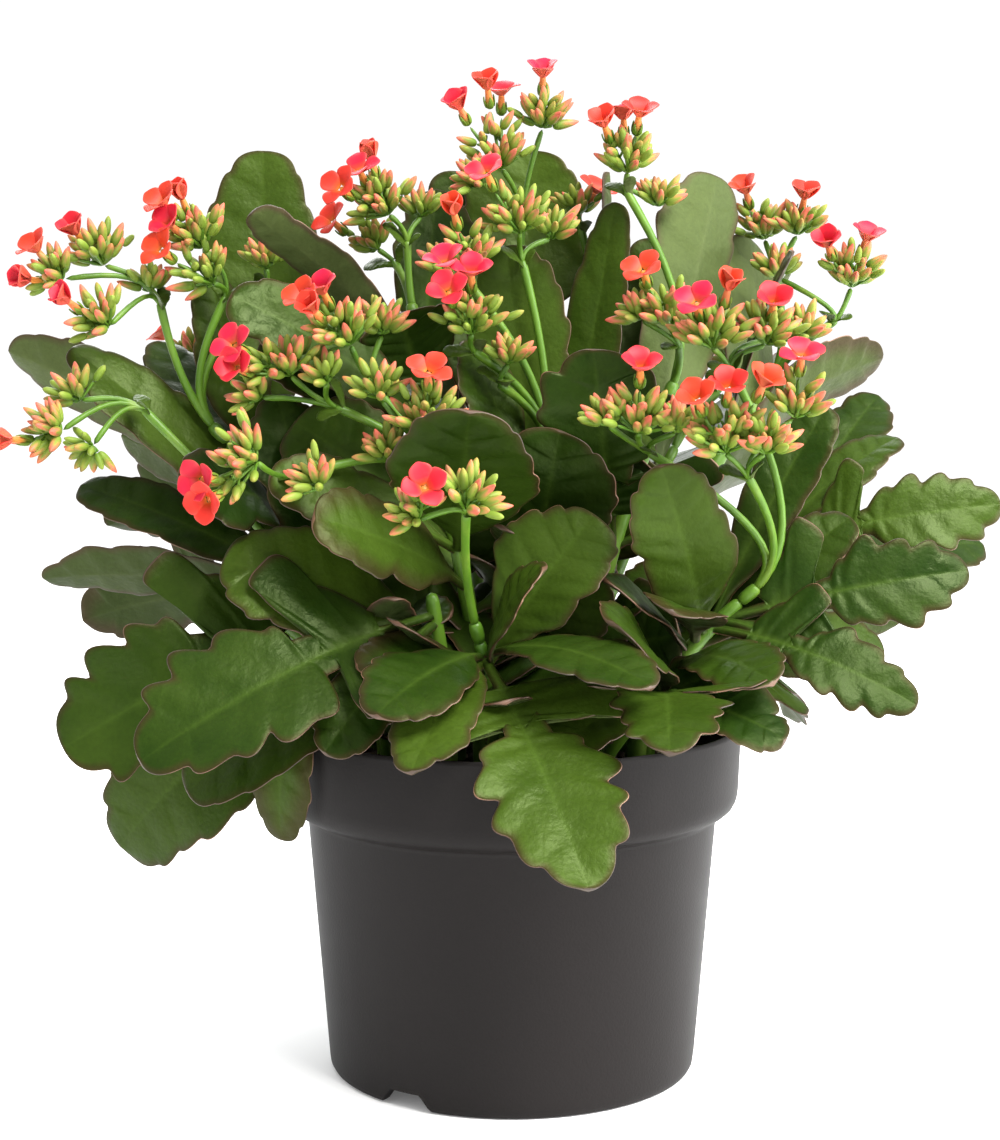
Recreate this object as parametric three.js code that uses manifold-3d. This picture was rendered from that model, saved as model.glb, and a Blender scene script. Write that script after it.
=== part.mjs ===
// A flowering kalanchoe in a plain 13 cm nursery pot.
// Millimetres, +Z up. The origin is on the pot's axis, at the surface it stands on; -Y is the front.
import * as THREE from "three";
import { mergeVertices } from "three/addons/utils/BufferGeometryUtils.js";
import Module from "manifold-3d";

const wasm = await Module();
wasm.setup();

// ---------------------------------------------------------------- driving dimensions
const POT_HEIGHT = 99;
const RIM_RADIUS = 65;
const RIM_DRAFT = 0.6;
const SHOULDER_Z = 80;
const CREASE_Z = 73;
const CREASE_RADIUS = 58.2;
const BULGE = { out: 0.62, up: 0.3 };
const FOOT_RADIUS = 52.4;
const FOOT_BEVEL = 2.5;
const FOOT_RING_INNER = 48;
const WALL = 1.3;
const HUB_RADIUS = 11;
const FLOOR_UNDER = 6;
const FLOOR_TOP = 8;
const ROUND_SIDES = 32;

const NOTCH_FOOT_WIDTH = 16.6;
const NOTCH_TOP_WIDTH = 9.4;
const NOTCH_HEIGHT = 4.8;
const NOTCH_REACH = 12;
const NOTCH_ANGLES = [-124, -4, 116];
const DRAIN_RADIUS = 4.5;
const DRAIN_CIRCLE = 34;
const DRAIN_COUNT = 4;

const SOIL_TOP = 86.5;
const GAP = 0.35;
const SOIL_SIDE_GAP = 0.45;

const STEM_SUNK = 12;
const STEM_FOOT_RADIUS = 3.2;
const STEM_TIP_RADIUS = 2;
const STEM_STEPS = 3;
const STEM_UPRIGHT = 3;
const STEM_LEAN = 0.45;
const HOLE_RADIUS = 5;

const LEAF_THICKNESS = 2;
const PETIOLE_THICKNESS = 2.6;
const PETIOLE_HALF_WIDTH = 1.5;

const COLLAR_RADIUS = 2.3;
const COLLAR_LENGTH = 4;
const STALK_RADIUS = 1.5;
const RAY_RADIUS = 1.1;
const STALK_BOW = 0.4;
const UMBEL_RADIUS = 1.9;
const BUD_RADIUS = 1.8;
const BUD_BELLY = 0.62;
const BUD_SHORTER = 0.9;
const MOST_BUDS = 4;
const CALYX_DEPTH = 6.5;
const CALYX_RADIUS = 1.6;
const THROAT_DEPTH = 2.4;
const THROAT_RADIUS = 1.1;
const HEART_DEPTH = 1;
const FLOWER_TILT = [0, -0.2, 0.3];

// The three corners of a petal, from the valley before it: turn in degrees, radius and lift.
const PETAL = [[-45, 2.1, -0.4], [-18, 5.4, 0.5], [18, 5.4, 0.5]];

// Leafy stems: the place where each leaves the soil, and its growing tip.
const STEMS = {
  a: { foot: [-4, -30], tip: [-9, -38, 127] },
  b: { foot: [-18, -22], tip: [-22, -30, 139] },
  c: { foot: [34, -16], tip: [63, -22, 136] },
  d: { foot: [24, -30], tip: [45, -38, 113] },
  e: { foot: [-34, -8], tip: [-59, -15, 143] },
  f: { foot: [4, -2], tip: [9, 0, 170] },
  g: { foot: [-16, 4], tip: [-28, 16, 212] },
  h: { foot: [20, 4], tip: [44, 8, 190] },
  i: { foot: [38, 2], tip: [87, 10, 158] },
  j: { foot: [-36, 8], tip: [-81, 0, 179] },
  l: { foot: [14, 18], tip: [24, 40, 205] },
  m: { foot: [34, 20], tip: [76, 44, 192] },
  n: { foot: [0, 16], tip: [2, 34, 214] },
  o: { foot: [-8, -10], tip: [-18, -18, 161] },
  p: { foot: [-28, 24], tip: [-62, 40, 168] },
  q: { foot: [-8, 32], tip: [-14, 58, 176] },
  r: { foot: [22, 34], tip: [48, 56, 170] },
  s: { foot: [-20, 40], tip: [-36, 66, 126] },
  t: { foot: [8, 44], tip: [24, 72, 120] },
  u: { foot: [-42, 22], tip: [-84, 44, 132] },
  v: { foot: [45, 16], tip: [90, 42, 130] },
};

// Leaves. Each one: its stem, how far up the stem it grows (0 to 1), its tip, its full width, its outline,
// the share by which it turns its upper face to the viewer, and how far its midrib bows up from straight.
// A leaf that grows beyond BACK_HALF is turned to a viewer behind the plant.
const BACK_HALF = 30;
const LEAVES = [
  // the large leaves that hang over the rim, front and sides
  ["a", 0.88, [18, -98, 74], 40, "lobed", 0.4, 5],
  ["b", 0.88, [-95, -66, 99], 42, "lobed", 0.6, 8],
  ["d", 0.88, [44, -84, 98], 34, "lobed", 0.25, 7],
  ["e", 0.84, [-122, -30, 96], 44, "lobed", 0.8, 6],
  ["b", 0.6, [-86, -46, 87], 28, "oval", 0.5, 10],
  ["e", 0.7, [-111, -8, 64], 36, "oval", 0.8, 12],
  ["c", 0.88, [124, -24, 144], 26, "lobed", 0.7, 5],
  ["c", 0.84, [105, -44, 105], 24, "lobed", 0.6, 6],
  ["i", 0.88, [139, 4, 160], 25, "lobed", 0.7, 4],
  // the other leaves of the front and left
  ["a", 0.88, [-34, -78, 113], 25, "oval", 0.4, 4],
  ["a", 0.84, [-19, -86, 100], 20, "oval", 0.3, 5],
  ["a", 0.88, [34, -78, 120], 22, "oval", 0.3, 6],
  ["a", 0.76, [-38, -58, 122], 20, "oval", 0.4, 4],
  ["g", 0.9, [-71, -14, 241], 16, "oval", 0.2, 4],
  ["b", 0.84, [-50, -62, 104], 20, "oval", 0.6, 4],
  ["b", 0.75, [-78, -32, 147], 30, "oval", 0.6, 5],
  ["e", 0.7, [-70, -40, 78], 20, "oval", 0.5, 14],
  ["e", 0.88, [-135, 10, 139], 20, "oval", -0.5, 4],
  ["e", 0.88, [-123, 6, 165], 18, "oval", 0.5, 4],
  // the middle and upper left
  ["j", 0.8, [-146, 22, 204], 24, "oval", -0.6, 4],
  ["j", 0.7, [-115, 30, 179], 22, "oval", -0.6, 2],
  ["j", 0.5, [-123, -5, 204], 24, "oval", 0.5, 4],
  ["j", 0.75, [-88, -32, 168], 26, "oval", 0.6, 4],
  ["g", 0.84, [-31, -2, 214], 34, "oval", 0.8, -4],
  ["g", 0.75, [-77, -16, 218], 24, "oval", 0.6, 6],
  ["j", 0.88, [-73, 36, 262], 32, "oval", 0.8, -6],
  ["j", 0.84, [-86, 12, 224], 20, "oval", 0.6, -3],
  ["o", 0.84, [-11, -56, 188], 36, "oval", 0.8, 2],
  ["o", 0.84, [-58, -42, 178], 20, "oval", 0.6, 4],
  ["o", 0.7, [-56, -46, 160], 26, "oval", 0.6, 4],
  ["o", 0.84, [-54, -8, 190], 32, "oval", 0.7, 4],
  ["e", 0.8, [-78, -2, 186], 23, "oval", 0.7, 3],
  ["g", 0.75, [-70, -5, 206], 26, "oval", 0.6, 4],
  ["g", 0.88, [-23, 52, 252], 22, "oval", 0.5, -4],
  // the centre and the crown
  ["a", 0.8, [22, -34, 160], 28, "oval", 0.7, 3],
  ["a", 0.7, [8, -58, 144], 18, "oval", 0.5, 4],
  ["l", 0.88, [28, 34, 256], 16, "oval", 0.4, -3],
  ["c", 0.8, [38, -49, 174], 26, "oval", 0.75, 5],
  ["f", 0.84, [3, 4, 234], 29, "oval", 0.9, -5],
  ["f", 0.4, [30, 19, 246], 18, "oval", 0.5, -3],
  ["f", 0.8, [-14, -10, 206], 22, "oval", 0.5, 2],
  ["f", 0.6, [13, -21, 182], 36, "oval", 0.8, 2],
  ["h", 0.6, [22, -15, 204], 42, "lobed", 0.8, 4],
  ["h", 0.75, [60, 37, 255], 28, "oval", -0.7, -4],
  ["h", 0.84, [38, 38, 242], 26, "oval", 0.6, -4],
  ["n", 0.88, [5, 51, 266], 36, "oval", 0.7, -4],
  ["n", 0.6, [-19, 57, 258], 28, "oval", 0.7, -4],
  ["f", 0.3, [24, -14, 146], 30, "oval", 0.7, 2],
  ["h", 0.3, [46, -20, 126], 30, "oval", 0.8, 2],
  ["n", 0.4, [-6, 12, 170], 38, "oval", 0.8, 2],
  ["l", 0.45, [40, 16, 172], 36, "oval", 0.8, 2],
  ["g", 0.35, [-40, 4, 164], 32, "oval", 0.8, 2],
  ["o", 0.4, [-34, -26, 140], 26, "oval", 0.6, 3],
  // the right
  ["c", 0.84, [88, -5, 188], 18, "oval", 0.6, 3],
  ["c", 0.75, [41, -56, 140], 22, "oval", 0.5, 4],
  ["c", 0.6, [62, -60, 118], 22, "oval", 0.4, 5],
  ["d", 0.88, [20, -60, 130], 26, "oval", 0.5, 4],
  ["d", 0.8, [12, -74, 110], 18, "oval", 0.3, 5],
  ["d", 0.8, [70, -58, 103], 22, "oval", 0.4, 5],
  ["c", 0.88, [96, -36, 116], 13, "oval", 0.5, 5],
  ["c", 0.7, [106, 2, 118], 22, "oval", 0.6, 4],
  ["i", 0.8, [140, 30, 146], 22, "oval", 0.6, 4],
  ["i", 0.84, [113, 23, 178], 16, "oval", 0.4, 4],
  ["i", 0.88, [110, 40, 190], 20, "oval", 0.6, 3],
  ["c", 0.6, [88, -18, 164], 22, "oval", 0.6, 3],
  ["i", 0.7, [88, -8, 146], 18, "oval", 0.6, 2],
  ["m", 0.88, [72, 56, 238], 28, "oval", 0.6, -4],
  ["m", 0.84, [80, 14, 232], 14, "oval", -0.3, 2],
  // the back
  ["p", 0.88, [-126, 62, 150], 36, "lobed", 0.5, 6],
  ["u", 0.88, [-134, 62, 120], 38, "lobed", 0.6, 8],
  ["v", 0.88, [122, 68, 118], 38, "lobed", 0.6, 8],
  ["q", 0.88, [-16, 118, 182], 34, "lobed", 0.4, 6],
  ["r", 0.88, [60, 116, 166], 34, "lobed", 0.4, 6],
  ["s", 0.88, [-46, 120, 94], 42, "lobed", 0.2, 12],
  ["t", 0.88, [30, 122, 88], 42, "lobed", 0.2, 12],
  ["p", 0.88, [-98, 72, 210], 28, "oval", 0.6, -4],
  ["p", 0.75, [-78, 102, 150], 28, "oval", 0.4, 5],
  ["p", 0.5, [-102, 70, 106], 30, "lobed", 0.5, 8],
  ["p", 0.84, [-40, 78, 212], 26, "oval", 0.6, -4],
  ["q", 0.88, [-22, 84, 234], 28, "oval", 0.6, -5],
  ["q", 0.75, [-50, 104, 176], 26, "oval", 0.4, 5],
  ["q", 0.75, [20, 106, 168], 28, "oval", 0.4, 5],
  ["q", 0.5, [-12, 110, 124], 32, "lobed", 0.4, 8],
  ["r", 0.88, [62, 78, 226], 28, "oval", 0.6, -4],
  ["r", 0.75, [100, 84, 174], 28, "oval", 0.5, 5],
  ["r", 0.5, [52, 106, 122], 30, "lobed", 0.4, 8],
  ["s", 0.8, [-82, 98, 110], 30, "oval", 0.5, 6],
  ["s", 0.84, [-8, 106, 102], 24, "oval", 0.2, 6],
  ["s", 0.8, [-54, 84, 148], 24, "oval", 0.5, 3],
  ["t", 0.84, [2, 104, 128], 22, "oval", 0.4, 5],
  ["t", 0.8, [70, 98, 102], 30, "oval", 0.4, 6],
  ["t", 0.8, [38, 98, 140], 24, "oval", 0.5, 3],
  ["u", 0.8, [-108, 90, 124], 28, "oval", 0.5, 5],
  ["u", 0.5, [-102, 52, 86], 34, "lobed", 0.5, 10],
  ["v", 0.8, [96, 94, 134], 28, "oval", 0.5, 5],
  ["v", 0.5, [86, 62, 90], 32, "lobed", 0.5, 10],
  ["l", 0.84, [36, 84, 210], 26, "oval", 0.5, 4],
  ["m", 0.84, [114, 58, 202], 26, "oval", 0.5, 4],
  ["m", 0.8, [84, 90, 200], 26, "oval", 0.5, 4],
  ["n", 0.8, [0, 84, 224], 26, "oval", 0.6, -3],
  ["j", 0.84, [-104, 38, 206], 26, "oval", 0.4, -3],
  ["g", 0.8, [-50, 58, 204], 26, "oval", 0.5, 3],
];

// Half outlines of a blade, as [distance along the midrib, share of the half width].
// An oval blade has blunt teeth. A lobed one has a wing on each side, and then a broad end.
const OUTLINES = {
  oval: [[0.15, 0.14], [0.34, 0.72], [0.46, 0.96], [0.53, 0.84], [0.68, 1], [0.76, 0.84], [0.93, 0.62]],
  lobed: [
    [0.18, 0.09], [0.29, 1.05], [0.41, 1.35], [0.44, 0.95], [0.36, 0.3], [0.64, 1], [0.82, 0.92],
    [0.95, 0.5],
  ],
};
const MIDRIB_STATIONS = [0, 0.28, 0.68, 1];
const CUP = 0.16;
const SPREAD = 0.004;

// A leaf whose place is taken is bent by one of these, [pitch up, yaw] in degrees, tried in this order
// at full length and then at the shorter lengths.
const BENDS = [
  [0, 0], [5, 0], [-5, 0], [0, 7], [0, -7], [8, 7], [8, -7], [-8, 7], [-8, -7], [13, 0], [-13, 0], [0, 15],
  [0, -15], [16, 12], [16, -12], [-16, 12], [-16, -12], [24, 0], [-24, 0], [0, 26], [0, -26], [26, 20],
  [26, -20], [-26, 20], [-26, -20],
];
const LEAF_SCALES = [1, 0.86, 0.72];
const CLEARANCE = 0.5;
const OWN_STEM_SHARE = 0.35;

// Flower sprays, by the stem that each grows from. Each spray: its fork, and its umbels. Each umbel: its
// centre, its reach, the way that it faces, its number of buds, and the faces of its open flowers.
const SPRAYS = {
  a: [
    [[-12, -62, 162], [
      [[-12, -68, 164], 14, [0.6, -0.3, 0.8], 5, []],
      [[-24, -66, 161], 11, [-0.5, -0.4, 0.5], 5, [[-22, -76, 170]]],
    ]],
  ],
  c: [
    [[59, -24, 198], [
      [[53, -32, 204], 15, [-0.2, -0.3, 1], 6, [[48, -38, 216], [57, -32, 220]]],
      [[68, -26, 205], 15, [0.2, -0.3, 1], 6, [[69, -32, 216]]],
      [[79, -16, 207], 11, [0.3, -0.1, 1], 4, []],
    ]],
    [[62, -42, 170], [
      [[55, -48, 177], 16, [-0.2, -0.3, 1], 7, [[47, -56, 191], [55, -54, 194], [64, -54, 195]]],
      [[65, -50, 177], 14, [0.1, -0.3, 1], 6, []],
      [[74, -40, 186], 14, [0.2, -0.3, 1], 5, [[75, -44, 202]]],
    ]],
    [[37, -32, 176], [
      [[33, -42, 182], 15, [0, -0.3, 1], 6, [[33, -46, 199]]],
      [[25, -42, 184], 11, [-0.4, -0.2, 0.8], 4, []],
      [[43, -40, 182], 11, [0.2, -0.2, 1], 4, []],
    ]],
  ],
  e: [
    [[-100, -18, 187], [
      [[-117, -22, 190], 12, [-0.6, -0.2, 0.8], 4, []],
      [[-121, -28, 182], 12, [-0.9, -0.2, 0.1], 5, [[-134, -32, 180]]],
      [[-113, -26, 178], 9, [-0.6, -0.2, -0.6], 3, []],
    ]],
  ],
  f: [
    [[3, 4, 228], [
      [[2, -2, 236], 15, [-0.1, -0.2, 1], 7, [[-7, -8, 252]]],
      [[11, 8, 235], 13, [0.2, 0, 1], 4, []],
    ]],
    [[-12, -2, 222], [
      [[-11, -8, 227], 13, [0.1, -0.3, 1], 5, [[-16, -14, 241]]],
      [[-18, -6, 225], 12, [-0.4, -0.2, 0.9], 4, []],
    ]],
    [[-10, -18, 203], [
      [[-11, -24, 208], 15, [0, -0.3, 1], 6, [[-18, -26, 227], [-17, -34, 219], [-11, -28, 224]]],
    ]],
    [[-3, -14, 194], [
      [[-1, -16, 200], 10, [0, -0.2, 1], 4, []],
    ]],
  ],
  g: [
    [[-30, 17, 234], [
      [[-35, 12, 242], 14, [-0.7, -0.2, 0.8], 6, [[-43, 8, 254], [-48, 4, 249], [-40, 14, 258]]],
      [[-26, 20, 242], 9, [-0.1, 0, 1], 3, []],
    ]],
    [[-34, 28, 229], [
      [[-39, 26, 233], 11, [-0.6, 0, 0.8], 5, [[-52, 24, 241]]],
    ]],
  ],
  h: [
    [[33, 14, 248], [
      [[33, 14, 254], 13, [-0.1, -0.1, 1], 6, [[26, 10, 267], [36, 12, 270], [32, 20, 270]]],
      [[42, 20, 245], 11, [0.1, 0, 1], 4, []],
    ]],
    [[46, -8, 205], [
      [[43, -16, 210], 15, [-0.2, -0.3, 1], 6, [[35, -22, 225]]],
      [[35, -16, 212], 9, [-0.6, -0.2, 0.6], 3, []],
    ]],
  ],
  j: [
    [[-81, 4, 218], [
      [[-86, -2, 232], 15, [-0.5, -0.2, 0.9], 6, [[-96, -6, 244], [-92, 0, 246], [-94, -8, 238]]],
      [[-83, -4, 222], 14, [-0.7, -0.3, 0.7], 5, [[-96, -12, 231]]],
    ]],
    [[-71, 14, 221], [
      [[-70, 12, 227], 10, [-0.3, 0, 1], 4, []],
    ]],
    [[-98, -2, 216], [
      [[-113, -6, 227], 14, [-0.4, -0.1, 0.9], 6, [[-120, -8, 236]]],
      [[-123, -12, 223], 11, [-0.8, -0.2, 0.6], 4, [[-132, -14, 223], [-130, -12, 231]]],
      [[-110, -16, 210], 13, [-0.8, -0.3, 0.6], 5, [[-120, -22, 217]]],
      [[-101, -2, 220], 9, [-0.2, 0, 1], 3, []],
    ]],
  ],
  l: [
    [[21, 42, 239], [
      [[20, 42, 244], 11, [0, 0, 1], 4, [[25, 42, 251]]],
    ]],
  ],
  m: [
    [[80, 42, 221], [
      [[76, 46, 237], 13, [-0.1, 0, 1], 5, [[70, 44, 251]]],
      [[85, 40, 238], 12, [0.1, 0, 1], 5, [[87, 40, 249]]],
    ]],
    [[94, 26, 212], [
      [[99, 26, 222], 15, [0.1, -0.1, 1], 7, [[91, 20, 234], [103, 26, 236]]],
      [[78, 30, 225], 12, [-0.1, 0, 1], 5, []],
    ]],
  ],
  n: [
    [[3, 34, 241], [
      [[-3, 24, 256], 14, [-0.3, -0.2, 1], 7, [[-15, 20, 273], [-7, 24, 279], [-3, 30, 278]]],
      [[9, 28, 268], 13, [0.1, 0, 1], 6, [[9, 28, 283]]],
      [[-9, 18, 251], 11, [-0.8, -0.3, 0.6], 5, []],
    ]],
  ],
  o: [
    [[-36, -24, 192], [
      [[-43, -32, 205], 15, [-0.5, -0.3, 0.9], 6, [[-55, -36, 217], [-50, -34, 219], [-52, -40, 214]]],
      [[-35, -22, 208], 11, [0, -0.1, 1], 5, []],
    ]],
    [[-47, -24, 188], [
      [[-59, -32, 197], 14, [-0.3, -0.3, 0.9], 6, [[-73, -40, 205], [-72, -42, 199]]],
      [[-67, -32, 191], 11, [-0.9, -0.2, 0.4], 4, []],
      [[-49, -34, 195], 10, [-0.4, -0.2, 0.8], 3, []],
    ]],
    [[-22, -30, 174], [
      [[-23, -40, 182], 15, [0, -0.3, 1], 7, [[-22, -46, 198]]],
      [[-33, -36, 175], 11, [-0.4, -0.2, 0.9], 4, []],
      [[-35, -38, 191], 12, [-0.2, -0.2, 1], 4, []],
    ]],
    [[-56, -40, 171], [
      [[-66, -52, 175], 15, [-0.9, -0.3, 0.1], 7, [[-79, -62, 171], [-77, -64, 166]]],
      [[-50, -48, 168], 13, [-0.7, -0.2, 0.7], 4, []],
    ]],
  ],
  p: [
    [[-66, 46, 206], [
      [[-72, 50, 218], 14, [-0.3, 0.2, 1], 6, [[-78, 54, 232], [-68, 58, 233]]],
      [[-56, 50, 214], 12, [0.2, 0.1, 1], 4, []],
    ]],
    [[-88, 56, 190], [
      [[-98, 62, 200], 13, [-0.6, 0.4, 0.8], 5, [[-108, 70, 208]]],
    ]],
  ],
  q: [
    [[-16, 66, 216], [
      [[-20, 72, 228], 15, [-0.2, 0.3, 1], 6, [[-24, 80, 241], [-14, 76, 243]]],
      [[-4, 72, 222], 12, [0.4, 0.2, 0.9], 5, []],
    ]],
    [[-22, 92, 196], [
      [[-24, 102, 206], 14, [0, 0.7, 0.8], 6, [[-24, 114, 214], [-32, 108, 216]]],
    ]],
  ],
  r: [
    [[52, 66, 208], [
      [[48, 70, 220], 14, [-0.2, 0.3, 1], 6, [[46, 76, 234]]],
      [[62, 72, 216], 13, [0.4, 0.2, 0.9], 5, [[66, 80, 228]]],
    ]],
    [[66, 84, 190], [
      [[72, 94, 200], 13, [0.3, 0.7, 0.8], 5, [[76, 106, 208], [66, 104, 210]]],
    ]],
  ],
  s: [
    [[-40, 92, 150], [
      [[-42, 104, 158], 13, [0, 0.8, 0.6], 5, [[-44, 116, 162]]],
    ]],
  ],
  t: [
    [[26, 94, 146], [
      [[28, 106, 154], 13, [0.1, 0.8, 0.6], 5, [[30, 118, 160]]],
    ]],
  ],
};

const MATERIALS = {
  pot: { color: 0x3a3637, roughness: 0.55, metalness: 0 },
  soil: { color: 0x3a2a1e, roughness: 0.95, metalness: 0 },
  leafyStem: { color: 0x2f5a24, roughness: 0.45, metalness: 0 },
  flowerHead: { color: 0xe0483f, roughness: 0.6, metalness: 0 },
};

// ---------------------------------------------------------------- vectors and solids
const UP = new THREE.Vector3(0, 0, 1);

function vector([x, y, z]) {
  return new THREE.Vector3(x, y, z);
}

function along(point, direction, distance) {
  return point.clone().addScaledVector(direction, distance);
}

// The part of a vector that is square to a unit direction, made one long.
function squareTo(direction, rough) {
  return rough.clone().addScaledVector(direction, -rough.dot(direction)).normalize();
}

function solidFromFaces(points, faces) {
  const vertProperties = new Float32Array(points.flatMap((point) => point.toArray()));
  const triVerts = new Uint32Array(faces.flat());
  return new wasm.Manifold(new wasm.Mesh({ numProp: 3, vertProperties, triVerts }));
}

function solidFromGeometry(geometry) {
  const plain = geometry.index ? geometry.toNonIndexed() : geometry.clone();
  plain.deleteAttribute("normal");
  plain.deleteAttribute("uv");
  const merged = mergeVertices(plain, 1e-3);
  const triVerts = [];
  for (let corner = 0; corner < merged.index.count; corner += 3) {
    const [a, b, c] = [0, 1, 2].map((step) => merged.index.getX(corner + step));
    if (a !== b && b !== c && c !== a) {
      triVerts.push(a, b, c);
    }
  }
  return new wasm.Manifold(new wasm.Mesh({
    numProp: 3,
    vertProperties: new Float32Array(merged.attributes.position.array),
    triVerts: new Uint32Array(triVerts),
  }));
}

function join(solids) {
  return solids.reduce((whole, solid) => whole.add(solid));
}

function meshFromSolid(name, solid, look) {
  const { vertProperties, triVerts } = solid.getMesh();
  const geometry = new THREE.BufferGeometry();
  geometry.setAttribute("position", new THREE.BufferAttribute(vertProperties, 3));
  geometry.setIndex(new THREE.BufferAttribute(triVerts, 1));
  geometry.computeVertexNormals();
  const mesh = new THREE.Mesh(geometry, new THREE.MeshStandardMaterial(look));
  mesh.name = name;
  return mesh;
}

// A lathe turned about +Z from [radius, height] points.
function turned(profile) {
  const points = profile.map(([radius, height]) => new THREE.Vector2(radius, height));
  return new THREE.LatheGeometry(points, ROUND_SIDES).rotateX(Math.PI / 2);
}

function uprightCylinder(radius, bottom, top, x, y, sides) {
  const geometry = new THREE.CylinderGeometry(radius, radius, top - bottom, sides);
  return geometry.rotateX(Math.PI / 2).translate(x, y, (top + bottom) / 2);
}

// A closed tube through a list of points, with a radius at each. The first ring is square to `startAxis`.
function tube(points, radii, sides, startAxis) {
  const corners = [];
  let side = null;
  points.forEach((point, index) => {
    const before = points[Math.max(index - 1, 0)];
    const after = points[Math.min(index + 1, points.length - 1)];
    const axis = index === 0 && startAxis ? startAxis : after.clone().sub(before).normalize();
    side = squareTo(axis, side ?? new THREE.Vector3(0.31, 0.94, 0.12));
    const other = axis.clone().cross(side);
    for (let step = 0; step < sides; step += 1) {
      const angle = (2 * Math.PI * step) / sides;
      const corner = along(point, side, radii[index] * Math.cos(angle));
      corners.push(corner.addScaledVector(other, radii[index] * Math.sin(angle)));
    }
  });
  const faces = [];
  for (let ring = 0; ring < points.length - 1; ring += 1) {
    for (let step = 0; step < sides; step += 1) {
      const low = ring * sides + step;
      const lowNext = ring * sides + ((step + 1) % sides);
      faces.push([low, lowNext, lowNext + sides], [low, lowNext + sides, low + sides]);
    }
  }
  const last = (points.length - 1) * sides;
  for (let step = 1; step < sides - 1; step += 1) {
    faces.push([0, step + 1, step], [last, last + step, last + step + 1]);
  }
  return solidFromFaces(corners, faces);
}

// ---------------------------------------------------------------- pot and soil
// The wall from the foot up to the rim band, `inset` inside the outer face.
function wallProfile(inset) {
  const crease = [CREASE_RADIUS - inset, CREASE_Z + inset];
  const shoulder = [RIM_RADIUS - RIM_DRAFT - inset, SHOULDER_Z + inset];
  const middle = [
    crease[0] + BULGE.out * (shoulder[0] - crease[0]),
    crease[1] + BULGE.up * (shoulder[1] - crease[1]),
  ];
  return [crease, middle, shoulder];
}

// The sides of a notch lean towards each other. It is cut from a little below the foot.
function notchGeometry(below = 1) {
  const foot = NOTCH_FOOT_WIDTH / 2;
  const top = NOTCH_TOP_WIDTH / 2;
  const low = foot + ((foot - top) / NOTCH_HEIGHT) * below;
  const outline = new THREE.Shape([
    new THREE.Vector2(-low, -below),
    new THREE.Vector2(low, -below),
    new THREE.Vector2(top, NOTCH_HEIGHT),
    new THREE.Vector2(-top, NOTCH_HEIGHT),
  ]);
  const geometry = new THREE.ExtrudeGeometry(outline, { depth: NOTCH_REACH, bevelEnabled: false });
  geometry.rotateX(Math.PI / 2).rotateZ(Math.PI / 2);
  return geometry.translate(FOOT_RADIUS - NOTCH_REACH / 2, 0, 0);
}

function potSolid() {
  const shell = turned([
    [0, 0], [HUB_RADIUS, 0], [HUB_RADIUS + 1, FLOOR_UNDER], [FOOT_RING_INNER, FLOOR_UNDER],
    [FOOT_RING_INNER + 1, 0], [FOOT_RADIUS - FOOT_BEVEL, 0], [FOOT_RADIUS, FOOT_BEVEL],
    ...wallProfile(0),
    [RIM_RADIUS, POT_HEIGHT], [RIM_RADIUS - WALL, POT_HEIGHT],
    ...wallProfile(WALL).reverse(),
    [FOOT_RADIUS - WALL, FLOOR_TOP], [0, FLOOR_TOP],
  ]);
  let pot = solidFromGeometry(shell);
  for (const degrees of NOTCH_ANGLES) {
    const notch = notchGeometry().rotateZ(THREE.MathUtils.degToRad(degrees));
    pot = pot.subtract(solidFromGeometry(notch));
  }
  for (let hole = 0; hole < DRAIN_COUNT; hole += 1) {
    const angle = (2 * Math.PI * hole) / DRAIN_COUNT;
    const x = DRAIN_CIRCLE * Math.cos(angle);
    const y = DRAIN_CIRCLE * Math.sin(angle);
    const drain = uprightCylinder(DRAIN_RADIUS, FLOOR_UNDER - 1, FLOOR_TOP + 1, x, y, 6);
    pot = pot.subtract(solidFromGeometry(drain));
  }
  return pot;
}

// The soil follows the inside of the pot, and each stem stands in a plain hole in its top.
function soilSolid() {
  const inset = WALL + SOIL_SIDE_GAP;
  let soil = solidFromGeometry(turned([
    [0, FLOOR_TOP + GAP], [FOOT_RADIUS - inset, FLOOR_TOP + GAP],
    ...wallProfile(inset),
    [RIM_RADIUS - RIM_DRAFT - inset, SOIL_TOP], [0, SOIL_TOP],
  ]));
  for (const { foot } of Object.values(STEMS)) {
    const bottom = SOIL_TOP - STEM_SUNK - GAP;
    const hole = uprightCylinder(HOLE_RADIUS, bottom, SOIL_TOP + 5, foot[0], foot[1], 4);
    soil = soil.subtract(solidFromGeometry(hole));
  }
  return soil;
}

// ---------------------------------------------------------------- leafy stems
// A stem rises straight out of the soil and then leans out to its tip.
function stemCurve({ foot, tip }) {
  const start = new THREE.Vector3(foot[0], foot[1], SOIL_TOP + STEM_UPRIGHT);
  const bend = new THREE.Vector3(foot[0], foot[1], start.z + STEM_LEAN * (tip[2] - start.z));
  return new THREE.QuadraticBezierCurve3(start, bend, vector(tip));
}

function stemSolid(stem) {
  const curve = stemCurve(stem);
  const points = [new THREE.Vector3(stem.foot[0], stem.foot[1], SOIL_TOP - STEM_SUNK)];
  const radii = [STEM_FOOT_RADIUS];
  for (let step = 0; step <= STEM_STEPS; step += 1) {
    const share = step / STEM_STEPS;
    points.push(curve.getPoint(share));
    radii.push(STEM_FOOT_RADIUS + (STEM_TIP_RADIUS - STEM_FOOT_RADIUS) * share);
  }
  return tube(points, radii, 4, UP);
}

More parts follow.
